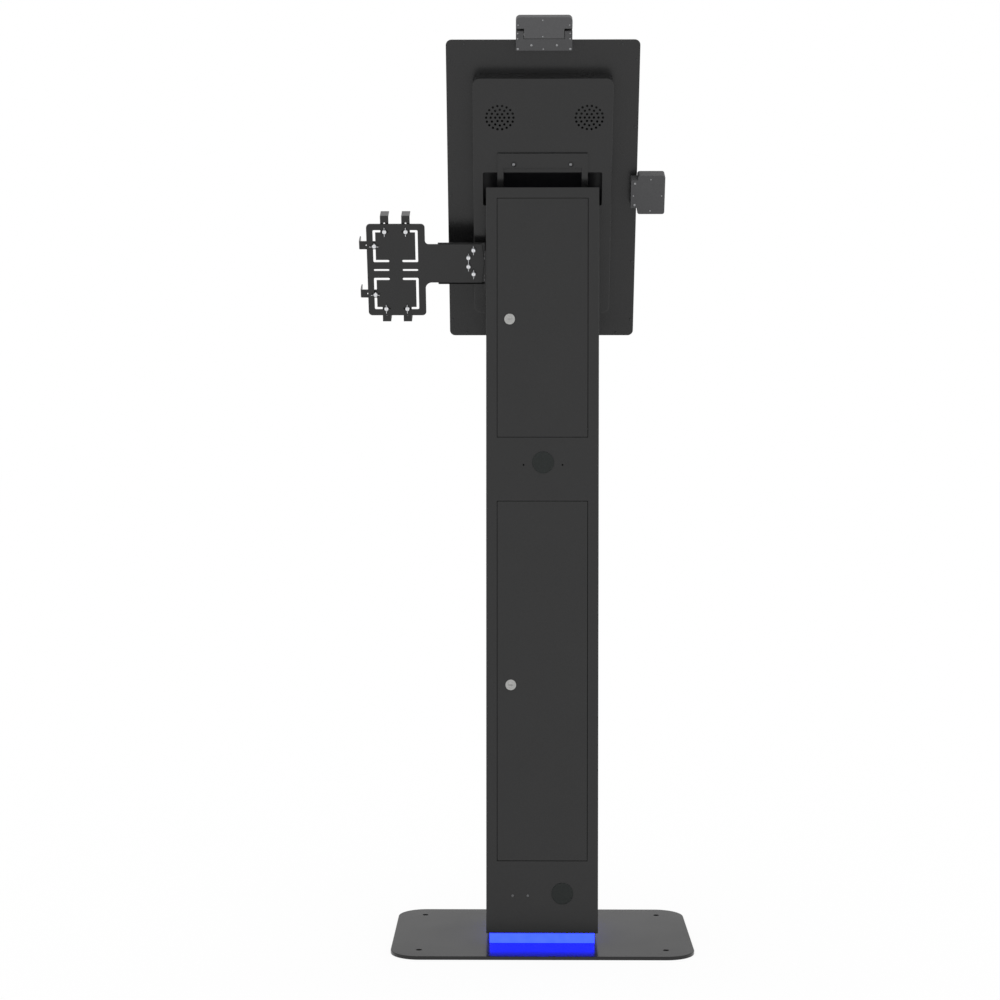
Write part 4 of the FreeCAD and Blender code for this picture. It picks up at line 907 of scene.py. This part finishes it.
def makeLockNuts():
    for body, (x, height) in lockNuts["places"].items():
        nut = disc(lockNuts["flats"] / 2 / math.cos(math.radians(30)), 0, lockNuts["thick"], 6)
        below, above = -lockNuts["cutBeyond"], lockNuts["thick"] + lockNuts["cutBeyond"]
        cutWith(nut, disc(lockNuts["bore"] / 2, below, above, lockNuts["boreCorners"]))
        smooth(bevelled(nut, lockNuts["easing"]))
        placed(nut, turnedAt((x, lockNuts["seat"], height), 90, "X"))
        finishPiece(nut, body + "_lock_nut", body, "lock_nickel")


makeCoverScrews()
makePodScrews()
makeHangerScrews()
makeEarthScrews()
makeArmScrews()
makeArcWings()
makeHookWings()
makeLidScrews()
makeArmShadowStrip()
makeLockNuts()
print("fasteners ready")


# floor and light
studio = {"floorSize": 60, "world": 1.0, "shadowShare": 0.12}


def makeFloor():
    finish = bpy.data.materials.new("studioFloor")
    finish.use_nodes = True
    tree = finish.node_tree
    tree.nodes.clear()
    output = tree.nodes.new("ShaderNodeOutputMaterial")
    paint = tree.nodes.new("ShaderNodeBsdfDiffuse")
    paint.inputs["Color"].default_value = (1, 1, 1, 1)
    glow = tree.nodes.new("ShaderNodeEmission")
    mix = tree.nodes.new("ShaderNodeMixShader")
    path = tree.nodes.new("ShaderNodeLightPath")
    seen = tree.nodes.new("ShaderNodeMath")
    seen.operation = "MAXIMUM"
    tree.links.new(path.outputs["Is Camera Ray"], seen.inputs[0])
    tree.links.new(path.outputs["Is Glossy Ray"], seen.inputs[1])
    through = tree.nodes.new("ShaderNodeMath")
    through.operation = "MAXIMUM"
    tree.links.new(seen.outputs["Value"], through.inputs[0])
    tree.links.new(path.outputs["Is Transmission Ray"], through.inputs[1])
    share = tree.nodes.new("ShaderNodeMath")
    share.operation = "MULTIPLY"
    share.inputs[1].default_value = 1 - studio["shadowShare"]
    tree.links.new(through.outputs["Value"], share.inputs[0])
    tree.links.new(share.outputs["Value"], mix.inputs["Fac"])
    tree.links.new(paint.outputs["BSDF"], mix.inputs[1])
    tree.links.new(glow.outputs["Emission"], mix.inputs[2])
    tree.links.new(mix.outputs["Shader"], output.inputs["Surface"])
    onlyThis(None)
    bpy.ops.mesh.primitive_plane_add(size=studio["floorSize"], location=(0, 0, 0))
    floor = bpy.context.object
    floor.name = "studioFloor"
    floor.data.materials.append(finish)


def makeWorld():
    world = bpy.data.worlds.new("studioWorld")
    bpy.context.scene.world = world
    world.use_nodes = True
    tree = world.node_tree
    tree.nodes.clear()
    output = tree.nodes.new("ShaderNodeOutputWorld")
    sky = tree.nodes.new("ShaderNodeBackground")
    sky.inputs["Color"].default_value = (1, 1, 1, 1)
    sky.inputs["Strength"].default_value = studio["world"]
    tree.links.new(sky.outputs["Background"], output.inputs["Surface"])


makeFloor()
makeWorld()
bpy.context.scene.view_settings.view_transform = "Standard"
print("studio ready")
